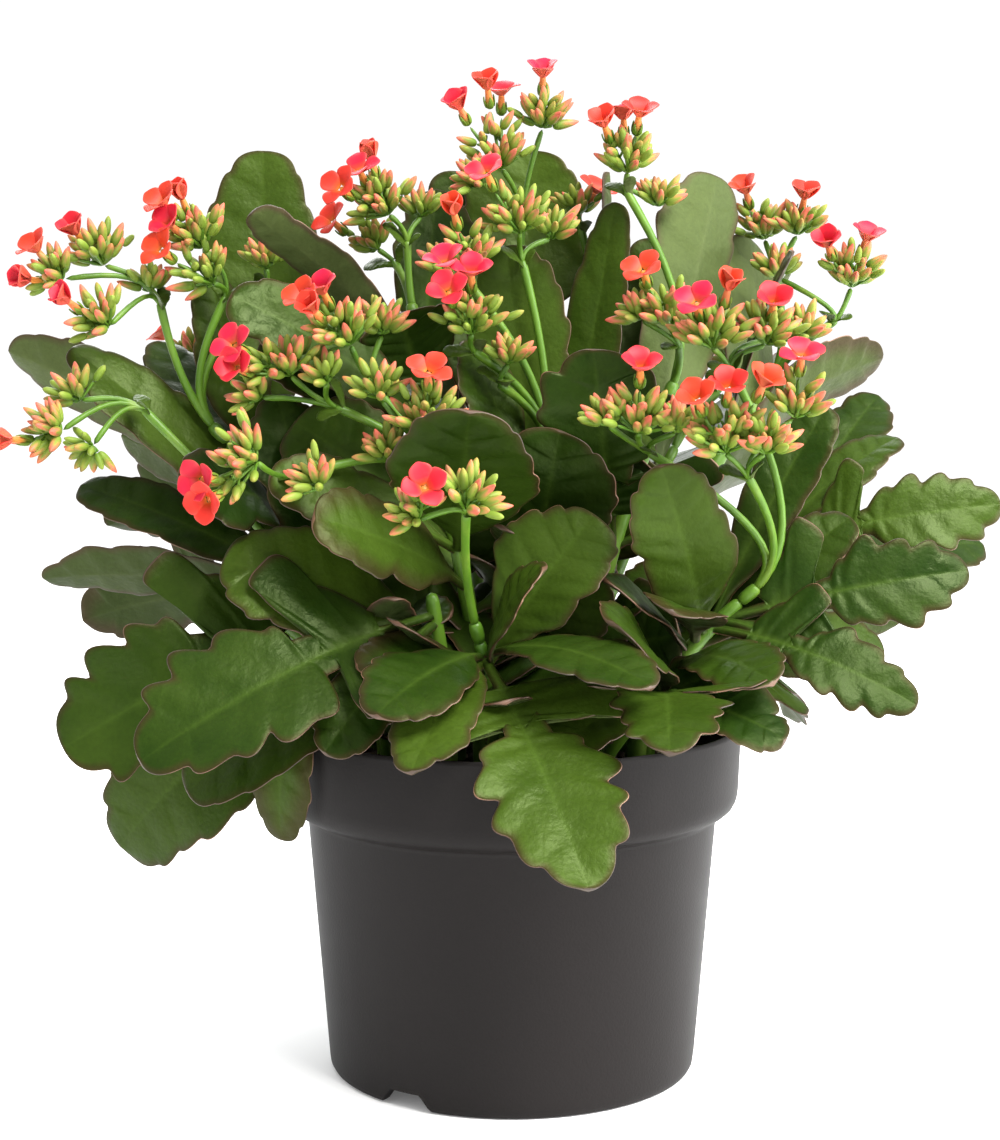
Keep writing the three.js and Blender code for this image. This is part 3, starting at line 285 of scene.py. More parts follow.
# Flower sprays, by the stem that each grows from. Each spray: its fork, and its umbels. Each umbel: its
# centre, its reach, the way that it faces, its number of buds, and the faces of its open flowers.
SPRAYS = {
    "a": [[[-12, -62, 162], [
        [[-12, -68, 164], 14, [0.6, -0.3, 0.8], 5, []],
        [[-24, -66, 161], 11, [-0.5, -0.4, 0.5], 5, [[-22, -76, 170]]],
    ]]],
    "c": [[[59, -24, 198], [
        [[53, -32, 204], 15, [-0.2, -0.3, 1], 6, [[48, -38, 216], [57, -32, 220]]],
        [[68, -26, 205], 15, [0.2, -0.3, 1], 6, [[69, -32, 216]]],
        [[79, -16, 207], 11, [0.3, -0.1, 1], 4, []],
    ]], [[62, -42, 170], [
        [[55, -48, 177], 16, [-0.2, -0.3, 1], 7, [[47, -56, 191], [55, -54, 194], [64, -54, 195]]],
        [[65, -50, 177], 14, [0.1, -0.3, 1], 6, []],
        [[74, -40, 186], 14, [0.2, -0.3, 1], 5, [[75, -44, 202]]],
    ]], [[37, -32, 176], [
        [[33, -42, 182], 15, [0, -0.3, 1], 6, [[33, -46, 199]]],
        [[25, -42, 184], 11, [-0.4, -0.2, 0.8], 4, []],
        [[43, -40, 182], 11, [0.2, -0.2, 1], 4, []],
    ]]],
    "e": [[[-100, -18, 187], [
        [[-117, -22, 190], 12, [-0.6, -0.2, 0.8], 4, []],
        [[-121, -28, 182], 12, [-0.9, -0.2, 0.1], 5, [[-134, -32, 180]]],
        [[-113, -26, 178], 9, [-0.6, -0.2, -0.6], 3, []],
    ]]],
    "f": [[[3, 4, 228], [
        [[2, -2, 236], 15, [-0.1, -0.2, 1], 7, [[-7, -8, 252]]],
        [[11, 8, 235], 13, [0.2, 0, 1], 4, []],
    ]], [[-12, -2, 222], [
        [[-11, -8, 227], 13, [0.1, -0.3, 1], 5, [[-16, -14, 241]]],
        [[-18, -6, 225], 12, [-0.4, -0.2, 0.9], 4, []],
    ]], [[-10, -18, 203], [
        [[-11, -24, 208], 15, [0, -0.3, 1], 6, [[-18, -26, 227], [-17, -34, 219], [-11, -28, 224]]],
    ]], [[-3, -14, 194], [
        [[-1, -16, 200], 10, [0, -0.2, 1], 4, []],
    ]]],
    "g": [[[-30, 17, 234], [
        [[-35, 12, 242], 14, [-0.7, -0.2, 0.8], 6, [[-43, 8, 254], [-48, 4, 249], [-40, 14, 258]]],
        [[-26, 20, 242], 9, [-0.1, 0, 1], 3, []],
    ]], [[-34, 28, 229], [
        [[-39, 26, 233], 11, [-0.6, 0, 0.8], 5, [[-52, 24, 241]]],
    ]]],
    "h": [[[33, 14, 248], [
        [[33, 14, 254], 13, [-0.1, -0.1, 1], 6, [[26, 10, 267], [36, 12, 270], [32, 20, 270]]],
        [[42, 20, 245], 11, [0.1, 0, 1], 4, []],
    ]], [[46, -8, 205], [
        [[43, -16, 210], 15, [-0.2, -0.3, 1], 6, [[35, -22, 225]]],
        [[35, -16, 212], 9, [-0.6, -0.2, 0.6], 3, []],
    ]]],
    "j": [[[-81, 4, 218], [
        [[-86, -2, 232], 15, [-0.5, -0.2, 0.9], 6, [[-96, -6, 244], [-92, 0, 246], [-94, -8, 238]]],
        [[-83, -4, 222], 14, [-0.7, -0.3, 0.7], 5, [[-96, -12, 231]]],
    ]], [[-71, 14, 221], [
        [[-70, 12, 227], 10, [-0.3, 0, 1], 4, []],
    ]], [[-98, -2, 216], [
        [[-113, -6, 227], 14, [-0.4, -0.1, 0.9], 6, [[-120, -8, 236]]],
        [[-123, -12, 223], 11, [-0.8, -0.2, 0.6], 4, [[-132, -14, 223], [-130, -12, 231]]],
        [[-110, -16, 210], 13, [-0.8, -0.3, 0.6], 5, [[-120, -22, 217]]],
        [[-101, -2, 220], 9, [-0.2, 0, 1], 3, []],
    ]]],
    "l": [[[21, 42, 239], [
        [[20, 42, 244], 11, [0, 0, 1], 4, [[25, 42, 251]]],
    ]]],
    "m": [[[80, 42, 221], [
        [[76, 46, 237], 13, [-0.1, 0, 1], 5, [[70, 44, 251]]],
        [[85, 40, 238], 12, [0.1, 0, 1], 5, [[87, 40, 249]]],
    ]], [[94, 26, 212], [
        [[99, 26, 222], 15, [0.1, -0.1, 1], 7, [[91, 20, 234], [103, 26, 236]]],
        [[78, 30, 225], 12, [-0.1, 0, 1], 5, []],
    ]]],
    "n": [[[3, 34, 241], [
        [[-3, 24, 256], 14, [-0.3, -0.2, 1], 7, [[-15, 20, 273], [-7, 24, 279], [-3, 30, 278]]],
        [[9, 28, 268], 13, [0.1, 0, 1], 6, [[9, 28, 283]]],
        [[-9, 18, 251], 11, [-0.8, -0.3, 0.6], 5, []],
    ]]],
    "o": [[[-36, -24, 192], [
        [[-43, -32, 205], 15, [-0.5, -0.3, 0.9], 6, [[-55, -36, 217], [-50, -34, 219], [-52, -40, 214]]],
        [[-35, -22, 208], 11, [0, -0.1, 1], 5, []],
    ]], [[-47, -24, 188], [
        [[-59, -32, 197], 14, [-0.3, -0.3, 0.9], 6, [[-73, -40, 205], [-72, -42, 199]]],
        [[-67, -32, 191], 11, [-0.9, -0.2, 0.4], 4, []],
        [[-49, -34, 195], 10, [-0.4, -0.2, 0.8], 3, []],
    ]], [[-22, -30, 174], [
        [[-23, -40, 182], 15, [0, -0.3, 1], 7, [[-22, -46, 198]]],
        [[-33, -36, 175], 11, [-0.4, -0.2, 0.9], 4, []],
        [[-35, -38, 191], 12, [-0.2, -0.2, 1], 4, []],
    ]], [[-56, -40, 171], [
        [[-66, -52, 175], 15, [-0.9, -0.3, 0.1], 7, [[-79, -62, 171], [-77, -64, 166]]],
        [[-50, -48, 168], 13, [-0.7, -0.2, 0.7], 4, []],
    ]]],
    "p": [[[-66, 46, 206], [
        [[-72, 50, 218], 14, [-0.3, 0.2, 1], 6, [[-78, 54, 232], [-68, 58, 233]]],
        [[-56, 50, 214], 12, [0.2, 0.1, 1], 4, []],
    ]], [[-88, 56, 190], [
        [[-98, 62, 200], 13, [-0.6, 0.4, 0.8], 5, [[-108, 70, 208]]],
    ]]],
    "q": [[[-16, 66, 216], [
        [[-20, 72, 228], 15, [-0.2, 0.3, 1], 6, [[-24, 80, 241], [-14, 76, 243]]],
        [[-4, 72, 222], 12, [0.4, 0.2, 0.9], 5, []],
    ]], [[-22, 92, 196], [
        [[-24, 102, 206], 14, [0, 0.7, 0.8], 6, [[-24, 114, 214], [-32, 108, 216]]],
    ]]],
    "r": [[[52, 66, 208], [
        [[48, 70, 220], 14, [-0.2, 0.3, 1], 6, [[46, 76, 234]]],
        [[62, 72, 216], 13, [0.4, 0.2, 0.9], 5, [[66, 80, 228]]],
    ]], [[66, 84, 190], [
        [[72, 94, 200], 13, [0.3, 0.7, 0.8], 5, [[76, 106, 208], [66, 104, 210]]],
    ]]],
    "s": [[[-40, 92, 150], [
        [[-42, 104, 158], 13, [0, 0.8, 0.6], 5, [[-44, 116, 162]]],
    ]]],
    "t": [[[26, 94, 146], [
        [[28, 106, 154], 13, [0.1, 0.8, 0.6], 5, [[30, 118, 160]]],
    ]]],
}

# ---------------------------------------------------------------- fine shapes
# The margin of a blade, one arc for each blunt tooth: the notch where the arc ends, as [station along the
# midrib, share of the half width], and how far it bulges, as a share of its own length.
MARGINS = {
    "oval": [
        (0.30, 0.56, 0.05), (0.45, 0.88, 0.08), (0.60, 0.97, 0.15), (0.73, 0.96, 0.18), (0.84, 0.86, 0.20),
        (0.93, 0.63, 0.22), (1, 0, 0),
    ],
    "lobed": [
        (0.18, 0.34, 0.02), (0.28, 0.96, 0.10), (0.39, 1.38, 0.26), (0.435, 1.14, 0.34), (0.40, 0.70, 0.18),
        (0.34, 0.26, 0.06), (0.43, 0.34, 0.02), (0.53, 0.68, 0.28), (0.66, 0.70, 0.48), (0.79, 0.67, 0.50),
        (0.90, 0.50, 0.46), (1, 0, 0),
    ],
}
PETIOLE_END = {"oval": 0.15, "lobed": 0.20}
TOOTH_SWEEP = 0.42
# How unevenly the notches lie along and across, and the teeth bulge.
NOTCH_SHIFT = 0.013
NOTCH_SPREAD = 0.08
BULGES = (0.6, 1.4)
# The teeth of a leaf whose half width is less than this share of its length are shallower.
FULL_TOOTHED = 0.24
TIP_FULLNESS = 0.9
# The two wings of a lobed blade end at this station, and vary in size.
WING_END = 0.45
WING_ROOT = 0.2
WING_SIZES = (0.86, 1.14)
# How finely a leaf is drawn: the steps along each tooth, and the places from the midrib to the margin.
LARGE_LEAF = (6, [0, 0.07, 0.34, 0.66, 0.9, 1])
SMALL_LEAF = (3, [0, 0.15, 0.65, 1])
VEIN_SLANT = 0.45
# The margin waves by a share of the width, at this rate in radians over the length, and the blade is turned
# a little about its midrib.
WAVE_RATE = 11
WAVE_HEIGHTS = (0.02, 0.05)
TWIST = 0.05
# How far the flesh swells up between the side veins.
SWELL = 0.45
PETIOLE_THICKNESS = 2.5
BLADE_THICKNESS = 1.7
MARGIN_THICKNESS = 0.4
MARGIN_BAND = 2.4
# This share of the leaves has a broad reddish margin.
BRONZED = 0.14
BRONZED_BAND = 9
RIB_BAND = 1.3
# A leaf of less than this half width is thinner in proportion.
SLIM_HALF = 6

# Rings of a bud, as [height, radius], both as shares.
BUD_CALYX = [(0, 0.4), (0.12, 0.86), (0.5, 1.1), (1, 0.9)]
BUD_PETALS = [(0.22, 0.8), (0.55, 0.6), (0.84, 0.28)]
BUD_RADIUS = 1.52
BUD_SIDES = 8
# The scene has this many buds for each bud of the table, and a few more.
BUDS_FOR_EACH = 4.3
MORE_BUDS = 2
# This share of the buds has a dry tip.
DRY_TIPS = 0.06
# The buds of an umbel cover this share of a half ball, turned by the golden angle from one to the next.
BUD_DOME = 0.82
GOLDEN_ANGLE = 2.39996
# No bud grows where the cosine of its angle to a flower's way is more than this.
FLOWER_ROOM = 0.955
BUD_STALK_RADII = [0.6, 0.5, 0.62]
# How thick a ray and a stalk are along their length, as shares of their radius.
RAY_SHARES = (1.15, 1, 0.95, 1, 1.35)
STALK_SHARES = (1.15, 1.05, 1, 0.95, 0.92, 0.95, 1.15, 0.8)
BRACT_LENGTHS = (6, 11)
# Side buds on the stalk of an open flower, where the stalk is longer than this.
SIDE_BUDS = 3
SIDE_BUD_ROOM = 4.5
# The calyx takes this share of a ripe bud, and of a young one.
CALYX_SHARES = (0.5, 0.78)

# A petal: [distance along it, half width], as shares of its length.
PETAL_OUTLINE = [(0, 0.12), (0.16, 0.27), (0.38, 0.45), (0.6, 0.52), (0.8, 0.42), (0.94, 0.17), (1, 0.02)]
PETAL_ACROSS = [-1, -0.55, 0, 0.55, 1]
PETAL_LENGTH = 6.5
PETAL_THICKNESS = 0.35
# This share of the flowers is wide open. The petals rise by these angles there, and by these on the rest.
WIDE_OPEN = 0.85
WIDE_LIFTS = (0.2, 0.75)
STEEP_LIFTS = (0.85, 1.1)
# A flower's tube: [share of its length, radius]. A sepal: [share of its length, half width].
TUBE_LENGTH = 6.2
TUBE_RINGS = [(0, 0.7), (0.1, 1.35), (0.3, 1.45), (0.57, 1.2), (0.85, 0.95), (1, 1.05)]
SEPAL_LENGTH = 3.8
SEPAL_OUTLINE = [(0, 0.9), (0.45, 0.85), (0.8, 0.4), (1, 0.05)]

# Random numbers start from these. Young leaves and heads add the number of their stem or head, and the other
# leaves count on from that number times the last of these.
SOIL_SEED = 7
INNER_SEED = 500
HEAD_SEED = 9000
LEAF_SEEDS = 100

LEAF_TOP, LEAF_UNDER, LEAF_RIM, STALK, BLOOM = range(5)

RIGHT = np.array([1.0, 0.0, 0.0])
UP = np.array([0.0, 0.0, 1.0])


# ---------------------------------------------------------------- vectors
def vector(values):
    return np.array(values, dtype=float)


def unit(direction):
    return direction / np.linalg.norm(direction)


def square_to(direction, rough):
    """The part of a vector that is square to a unit direction, made one long."""
    return unit(rough - direction * np.dot(rough, direction))


def turned(direction, axis, angle):
    return vector(Quaternion(Vector(axis), angle) @ Vector(direction))


def bezier(start, bend, end, share):
    return start * (1 - share) ** 2 + bend * 2 * share * (1 - share) + end * share ** 2


def mixed(one, other, share):
    return tuple(a + (b - a) * share for a, b in zip(one, other))


# ---------------------------------------------------------------- meshes
class Shape:
    """Gathers the points, point colours, faces and material numbers of one piece."""

    def __init__(self):
        self.points = []
        self.colours = []
        self.faces = []
        self.slots = []

    def point(self, place, colour=(0, 0, 0, 0)):
        self.points.append(place)
        self.colours.append(colour)
        return len(self.points) - 1

    def face(self, corners, slot):
        self.faces.append(corners)
        self.slots.append(slot)

    def bridge(self, low, high, slot):
        """Joins two rings of as many points."""
        for step in range(len(low)):
            after = (step + 1) % len(low)
            self.face((low[step], low[after], high[after], high[step]), slot)

    def skin(self, rings, slot):
        """Joins rings one after another, and closes both ends."""
        for low, high in zip(rings, rings[1:]):
            self.bridge(low, high, slot)
        self.face(tuple(reversed(rings[0])), slot)
        self.face(tuple(rings[-1]), slot)

    def piece(self, name, materials, levels=1):
        """Makes the object, with the materials that its faces use."""
        mesh = bpy.data.meshes.new(name)
        mesh.from_pydata([tuple(place * MM) for place in self.points], [], self.faces)
        used = sorted(set(self.slots))
        for slot in used:
            mesh.materials.append(materials[slot])
        mesh.polygons.foreach_set("material_index", [used.index(slot) for slot in self.slots])
        mesh.polygons.foreach_set("use_smooth", [True] * len(self.faces))
        look = mesh.attributes.new("look", "FLOAT_COLOR", "POINT")
        look.data.foreach_set("color", [value for colour in self.colours for value in colour])
        mesh.update()
        made = bpy.data.objects.new(name, mesh)
        bpy.context.scene.collection.objects.link(made)
        if levels:
            smoothing = made.modifiers.new("smoothing", "SUBSURF")
            smoothing.levels = levels
            smoothing.render_levels = levels
        return made


def add_ring(shape, middle, axis, toward, radius, sides, colours=((0, 0, 0, 0),)):
    """A ring of points round an axis, the first on the side of `toward`. The colours repeat round it."""
    side = square_to(axis, toward)
    other = np.cross(axis, side)
    ring = []
    for step in range(sides):
        angle = 2 * math.pi * step / sides
        place = middle + (side * math.cos(angle) + other * math.sin(angle)) * radius
        ring.append(shape.point(place, colours[step % len(colours)]))
    return ring


def add_tube(shape, middles, radii, sides, slot, colours=None):
    """A closed tube through a list of points, with a radius, and maybe a colour, at each."""
    toward = vector((0.31, 0.94, 0.12))
    rings = []
    for index, middle in enumerate(middles):
        before = middles[max(index - 1, 0)]
        after = middles[min(index + 1, len(middles) - 1)]
        axis = unit(after - before)
        toward = square_to(axis, toward)
        colour = colours[index] if colours else (0, 0, 0, 0)
        rings.append(add_ring(shape, middle, axis, toward, radii[index], sides, (colour,)))
    shape.skin(rings, slot)


# ---------------------------------------------------------------- leaves
def stem_curve(name):
    (foot_x, foot_y), tip = STEMS[name]
    start = vector((foot_x, foot_y, SOIL_TOP + STEM_UPRIGHT))
    bend = vector((foot_x, foot_y, start[2] + STEM_LEAN * (tip[2] - start[2])))
    return start, bend, vector(tip)


def leaf_frame(root, tip, turn):
    """The way to a leaf's left edge, and the way out of its upper face."""
    axis = unit(tip - root)
    outward = vector((root[0], root[1], 0)) * SPREAD
    heading = unit(vector((axis[0], axis[1], 0)) + outward)
    flat = np.cross(axis, square_to(axis, np.cross(UP, heading)))
    viewer = vector((0, 1 if root[1] > BACK_HALF else -1, 0))
    top = square_to(axis, flat * (1 - abs(turn)) + viewer * turn)
    return np.cross(top, axis), top


def bent_tip(root, tip, bend, scale):
    pitch, yaw = (math.radians(angle) for angle in bend)
    reach = (tip - root) * scale
    heading = unit(vector((reach[0], reach[1], 0)))
    reach = turned(reach, np.cross(heading, UP), pitch)
    return root + turned(reach, UP, yaw)


def packed_corners(node):
    """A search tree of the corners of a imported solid."""
    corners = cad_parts[node].data.vertices
    tree = kdtree.KDTree(len(corners))
    for index, corner in enumerate(corners):
        tree.insert(corner.co / MM, index)
    tree.balance()
    return tree


def packed_leaf(tree, leaf):
    """The root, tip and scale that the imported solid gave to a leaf: the bend whose tip and widest places
    lie on its corners."""
    name, height, tip_place, width, kind, turn, bow = leaf
    root = bezier(*stem_curve(name), height)
    best = (MATCH, None, None)
    for scale in LEAF_SCALES:
        for bend in BENDS:
            tip = bent_tip(root, vector(tip_place), bend, scale)
            miss = tree.find(tip)[2]
            if miss >= best[0]:
                continue
            left, top = leaf_frame(root, tip, turn)
            out = width * scale / 2
            middle = bezier(root, (root + tip) / 2 + top * 2 * bow, tip, WIDEST[kind])
            for hand in (-1, 1):
                edge = middle + left * hand * out + top * CUP * (out - PETIOLE_HALF_WIDTH)
                miss = max(miss, tree.find(edge)[2])
            if miss < best[0]:
                best = (miss, tip, scale)
    return root, best[1], best[2]


def margin_points(kind, length, half, steps, chance):
    """The margin of a half blade, as [along, out] in millimetres, from the root to the tip."""
    end = PETIOLE_END[kind] * length
    petiole = min(PETIOLE_HALF_WIDTH, half * 0.4)
    wing = chance.uniform(*WING_SIZES)
    points = [(0, petiole), (end * 0.55, petiole), (end, petiole * 1.1)]
    for station, share, bulge in MARGINS[kind]:
        if kind == "lobed" and station < WING_END:
            station = WING_ROOT + (station - WING_ROOT) * wing
            share *= wing
        start = vector(points[-1])
        is_tip = station == 1
        out = share * half
        if not is_tip:
            station += chance.gauss(0, NOTCH_SHIFT) * (1.3 - station)
            out *= 1 + chance.gauss(0, NOTCH_SPREAD)
        stop = vector((station * length, out))
        chord = stop - start
        outward = vector((-chord[1], chord[0]))
        bulge *= chance.uniform(*BULGES) * min(1, half / length / FULL_TOOTHED)
        bend = (start + stop) / 2 + outward * 2 * bulge + chord * TOOTH_SWEEP
        if is_tip:
            bend = vector((length, start[1] * TIP_FULLNESS))
        for step in range(1, steps + 1):
            points.append(tuple(bezier(start, bend, stop, step / steps)))
    return points


def vein_roots(points, length):
    """Where the veins to the margin leave the midrib, as shares of its length, always moving on."""
    roots = []
    for along, out in points:
        least = roots[-1] + 0.006 if roots else 0
        roots.append(max(least, (along - VEIN_SLANT * out) / length))
    return [root / roots[-1] for root in roots]


def add_leaf(shape, root, tip, width, kind, turn, bow, chance, tone, band=MARGIN_BAND, rim=LEAF_RIM,
             detail=LARGE_LEAF):
    """A fleshy blade: an upper and an under face of rows that follow the veins, joined by a rim."""
    left, top = leaf_frame(root, tip, turn)
    length = np.linalg.norm(tip - root)
    bend = (root + tip) / 2 + top * 2 * bow
    half = width / 2
    slim = min(1, half / SLIM_HALF)
    steps, places = detail
    margins = {hand: margin_points(kind, length, half, steps, chance) for hand in (-1, 1)}
    both = zip(*(vein_roots(margin, length) for margin in margins.values()))
    roots = [(one + other) / 2 for one, other in both]
    phase = chance.uniform(0, 2 * math.pi)
    sway = chance.uniform(*WAVE_HEIGHTS) * width
    twist = chance.gauss(0, TWIST)
    sheets = {}
    for hand, margin in margins.items():
        for row, (along, out) in enumerate(margin):
            last = row == len(margin) - 1
            for column, share in enumerate(places):
                if (column == 0 or last) and (row, 0) in sheets:
                    sheets[row, hand * column] = sheets[row, 0]
                    continue
                station = roots[row] + (along / length - roots[row]) * share
                reach = out * share
                thick = leaf_thickness(station, share) * slim
                wave = sway * share ** 2 * math.sin(WAVE_RATE * station + phase + hand)
                rise = CUP * (math.hypot(reach, 4) - 4) + wave * min(station * 2, 1) + twist * hand * reach
                rise += SWELL * slim * math.sin(math.pi * row / steps) ** 2 * math.sin(math.pi * share)
                place = bezier(root, bend, tip, min(station, 1.04)) + left * hand * reach + top * rise
                colour = (
                    max(0, 1 - (out - reach) / band) * min(station * 5, 1) if band else 0,
                    max(0, 1 - reach / (RIB_BAND * (1.2 - station)))
                    * min(1, max(0, 1.25 - 1.1 * station)),
                    tone,
                    1,
                )
                upper = shape.point(place + top * thick / 2, colour)
                under = shape.point(place - top * thick / 2, colour)
                sheets[row, hand * column] = (upper, under)
            if last:
                for column in range(len(places)):
                    sheets[row, hand * column] = sheets[row, 0]
        add_leaf_faces(shape, sheets, hand, len(margin) - 1, len(places), rim)
    ends = [sheets[0, column] for column in range(1 - len(places), len(places))]
    for one, other in zip(ends, ends[1:]):
        shape.face((one[0], one[1], other[1], other[0]), LEAF_UNDER)


def leaf_thickness(station, share):
    body = PETIOLE_THICKNESS + (BLADE_THICKNESS - PETIOLE_THICKNESS) * min(station * 3.5, 1)
    return body + (MARGIN_THICKNESS - body) * share ** 3


def add_leaf_faces(shape, sheets, hand, last, columns, rim):
    for row in range(last):
        for column in range(columns - 1):
            near, far = hand * column, hand * (column + 1)
            corners = [sheets[row, near], sheets[row, far], sheets[row + 1, far], sheets[row + 1, near]]
            if hand > 0:
                corners.reverse()
            add_sheet_face(shape, [corner[0] for corner in corners], LEAF_TOP)
            add_sheet_face(shape, [corner[1] for corner in reversed(corners)], LEAF_UNDER)
        edge = hand * (columns - 1)
        (top_a, under_a), (top_b, under_b) = sheets[row, edge], sheets[row + 1, edge]
        corners = (top_a, top_b, under_b, under_a)
        shape.face(corners if hand > 0 else tuple(reversed(corners)), rim)


def add_sheet_face(shape, corners, slot):
    """A face of a sheet, which is a triangle where the rows meet at the tip."""
    distinct = list(dict.fromkeys(corners))
    if len(distinct) > 2:
        shape.face(tuple(distinct), slot)


def add_stem(shape, name):
    start, bend, tip = stem_curve(name)
    middles = [vector((start[0], start[1], SOIL_TOP - STEM_SUNK))]
    radii = [STEM_FOOT_RADIUS]
    for step in range(11):
        share = step / 10
        middles.append(bezier(start, bend, tip, share))
        knot = 1.12 if step % 3 == 1 else 1
        radii.append((STEM_FOOT_RADIUS + (STEM_TIP_RADIUS - STEM_FOOT_RADIUS) * share) * knot)
    add_tube(shape, middles, radii, 8, STALK)


# ---------------------------------------------------------------- flowers and buds
CALYX_GREEN = (0.062, 0.130, 0.008, 1)
CALYX_TIP = (0.165, 0.225, 0.028, 1)
BUD_YOUNG = (0.16, 0.22, 0.03, 1)
BUD_SALMON = (0.50, 0.135, 0.078, 1)
BUD_TIP = (0.46, 0.045, 0.035, 1)
TUBE_YELLOW = (0.56, 0.20, 0.025, 1)
PETAL_CORAL = (0.46, 0.007, 0.012, 1)
PETAL_PINK = (0.44, 0.006, 0.036, 1)
PETAL_ORANGE = (0.50, 0.034, 0.006, 1)
PETAL_BACK = (0.52, 0.12, 0.06, 1)
# The colour that the petal margins pale towards: a painted highlight.
PETAL_EDGE_HIGHLIGHT = (0.52, 0.07, 0.05, 1)
DRY_BROWN = (0.11, 0.05, 0.02, 1)


def add_bud(shape, base, direction, length, age, chance):
    """A bud: a green calyx with four pointed tips, and the furled petals above it."""
    radius = BUD_RADIUS * (0.72 + 0.28 * age) * chance.uniform(0.92, 1.08)
    petal = mixed(BUD_YOUNG, BUD_SALMON, min(max(age * 2.2 - 0.6, 0), 1))
    tip = mixed(petal, BUD_TIP, chance.uniform(0.1, 0.8) * age)
    if chance.random() < DRY_TIPS:
        tip = DRY_BROWN
    green = mixed(CALYX_GREEN, CALYX_TIP, chance.uniform(0.1, 0.7))
    toward = vector([chance.gauss(0, 1) for _ in range(3)])
    calyx = length * (CALYX_SHARES[1] + (CALYX_SHARES[0] - CALYX_SHARES[1]) * age)
    rings = []
    for height, share in BUD_CALYX:
        middle = base + direction * height * calyx
        colour = mixed(green, CALYX_TIP, 0.6 * height)
        colours = (colour, mixed(colour, petal, 0.6)) if height == 1 else (colour,)
        rings.append(add_ring(shape, middle, direction, toward, radius * share, BUD_SIDES, colours))
    for index, (height, share) in enumerate(BUD_PETALS):
        shade = mixed(petal, tip, index / len(BUD_PETALS))
        colours = (mixed(green, CALYX_TIP, 0.8), shade) if index == 0 else (shade,)
        middle = base + direction * (calyx + height * (length - calyx))
        rings.append(add_ring(shape, middle, direction, toward, radius * share, BUD_SIDES, colours))
    for low, high in zip(rings, rings[1:]):
        shape.bridge(low, high, BLOOM)
    shape.face(tuple(reversed(rings[0])), BLOOM)
    point = shape.point(base + direction * length, tip)
    for step in range(BUD_SIDES):
        shape.face((rings[-1][step], rings[-1][(step + 1) % BUD_SIDES], point), BLOOM)


def add_sepal(shape, base, axis, out, green):
    """One pointed sepal, which stands against the tube."""
    side = np.cross(axis, out)
    rows = []
    for share, wide in SEPAL_OUTLINE:
        middle = base + axis * share * SEPAL_LENGTH + out * (1.25 + 0.5 * math.sin(share * 2.2))
        row = [middle - side * wide, middle + out * 0.25 * wide, middle + side * wide]
        outer = [shape.point(place, green) for place in row]
        inner = [shape.point(place - out * 0.4, green) for place in row]
        rows.append(outer + inner[::-1])
    shape.skin(rows, BLOOM)


def add_petal(shape, throat, facing, out, lift, colour, chance):
    """One petal: it leaves the throat steeply and opens outwards, with a raised margin and a small point."""
    side = np.cross(facing, out)
    middle = throat + out * 0.75
    path = []
    for (share, _), (after, _) in zip(PETAL_OUTLINE, PETAL_OUTLINE[1:] + [(1, 0)]):
        angle = lift + (1 - share) ** 2 * 0.7 - share * 0.25
        path.append((middle, facing * math.cos(angle) - out * math.sin(angle)))
        way = out * math.cos(angle) + facing * math.sin(angle)
        middle = middle + way * (after - share) * PETAL_LENGTH
    back = mixed(PETAL_BACK, colour, chance.uniform(0.1, 0.45))
    rings = []
    for (share, wide), (middle, normal) in zip(PETAL_OUTLINE, path):
        upper, under = [], []
        half = wide * PETAL_LENGTH
        out_of_face = normal * PETAL_THICKNESS / 2
        for across in PETAL_ACROSS:
            place = middle + side * across * half + normal * 0.45 * (across * wide * 2) ** 2
            # Both faces pale towards their margins, which paints a highlight there.
            shade = mixed(mixed(TUBE_YELLOW, colour, min(share * 5, 1)), PETAL_EDGE_HIGHLIGHT, 0.35 * across ** 4)
            upper.append(shape.point(place + out_of_face, shade))
            under.append(shape.point(place - out_of_face, mixed(back, PETAL_EDGE_HIGHLIGHT, across ** 4)))
        rings.append(upper + under[::-1])
    for low, high in zip(rings, rings[1:]):
        shape.bridge(high, low, BLOOM)
    shape.face(tuple(rings[0]), BLOOM)
    shape.face(tuple(reversed(rings[-1])), BLOOM)


def add_flower(shape, hub, face, chance):
    """An open flower, with its own little stalk, sepals, tube and four petals."""
    facing = unit(unit(face - hub) + vector(FLOWER_TILT))
    base = face - facing * (TUBE_LENGTH + 0.3)
    green = mixed(CALYX_GREEN, CALYX_TIP, chance.uniform(0, 0.6))
    add_tube(shape, [hub, (hub + base) / 2 + facing * 0.3, base], [0.6, 0.55, 0.75], 6, STALK)
    orange = mixed(TUBE_YELLOW, PETAL_BACK, chance.uniform(0.2, 0.8))
    colours = [mixed(green, orange, min(max((share - 0.27) / 0.35, 0), 1)) for share, _ in TUBE_RINGS]
    middles = [base + facing * share * TUBE_LENGTH for share, _ in TUBE_RINGS]
    add_tube(shape, middles, [radius for _, radius in TUBE_RINGS], 8, BLOOM, colours)
    toward = square_to(facing, vector([chance.gauss(0, 1) for _ in range(3)]))
    if np.linalg.norm(base - hub) > SIDE_BUD_ROOM:
        add_side_buds(shape, (hub + base) / 2, facing, toward, chance)
    kind = chance.random()
    colour = mixed(PETAL_CORAL, PETAL_PINK if kind < 0.6 else PETAL_ORANGE, chance.uniform(0.2, 1))
    lift = chance.uniform(*(WIDE_LIFTS if chance.random() < WIDE_OPEN else STEEP_LIFTS))
    for petal in range(4):
        out = turned(toward, facing, math.pi / 2 * petal + chance.gauss(0, 0.06))
        add_sepal(shape, base + facing * 0.4, facing, turned(out, facing, math.pi / 4), green)
        add_petal(shape, face - facing * 0.6, facing, out, lift + chance.gauss(0, 0.1), colour, chance)


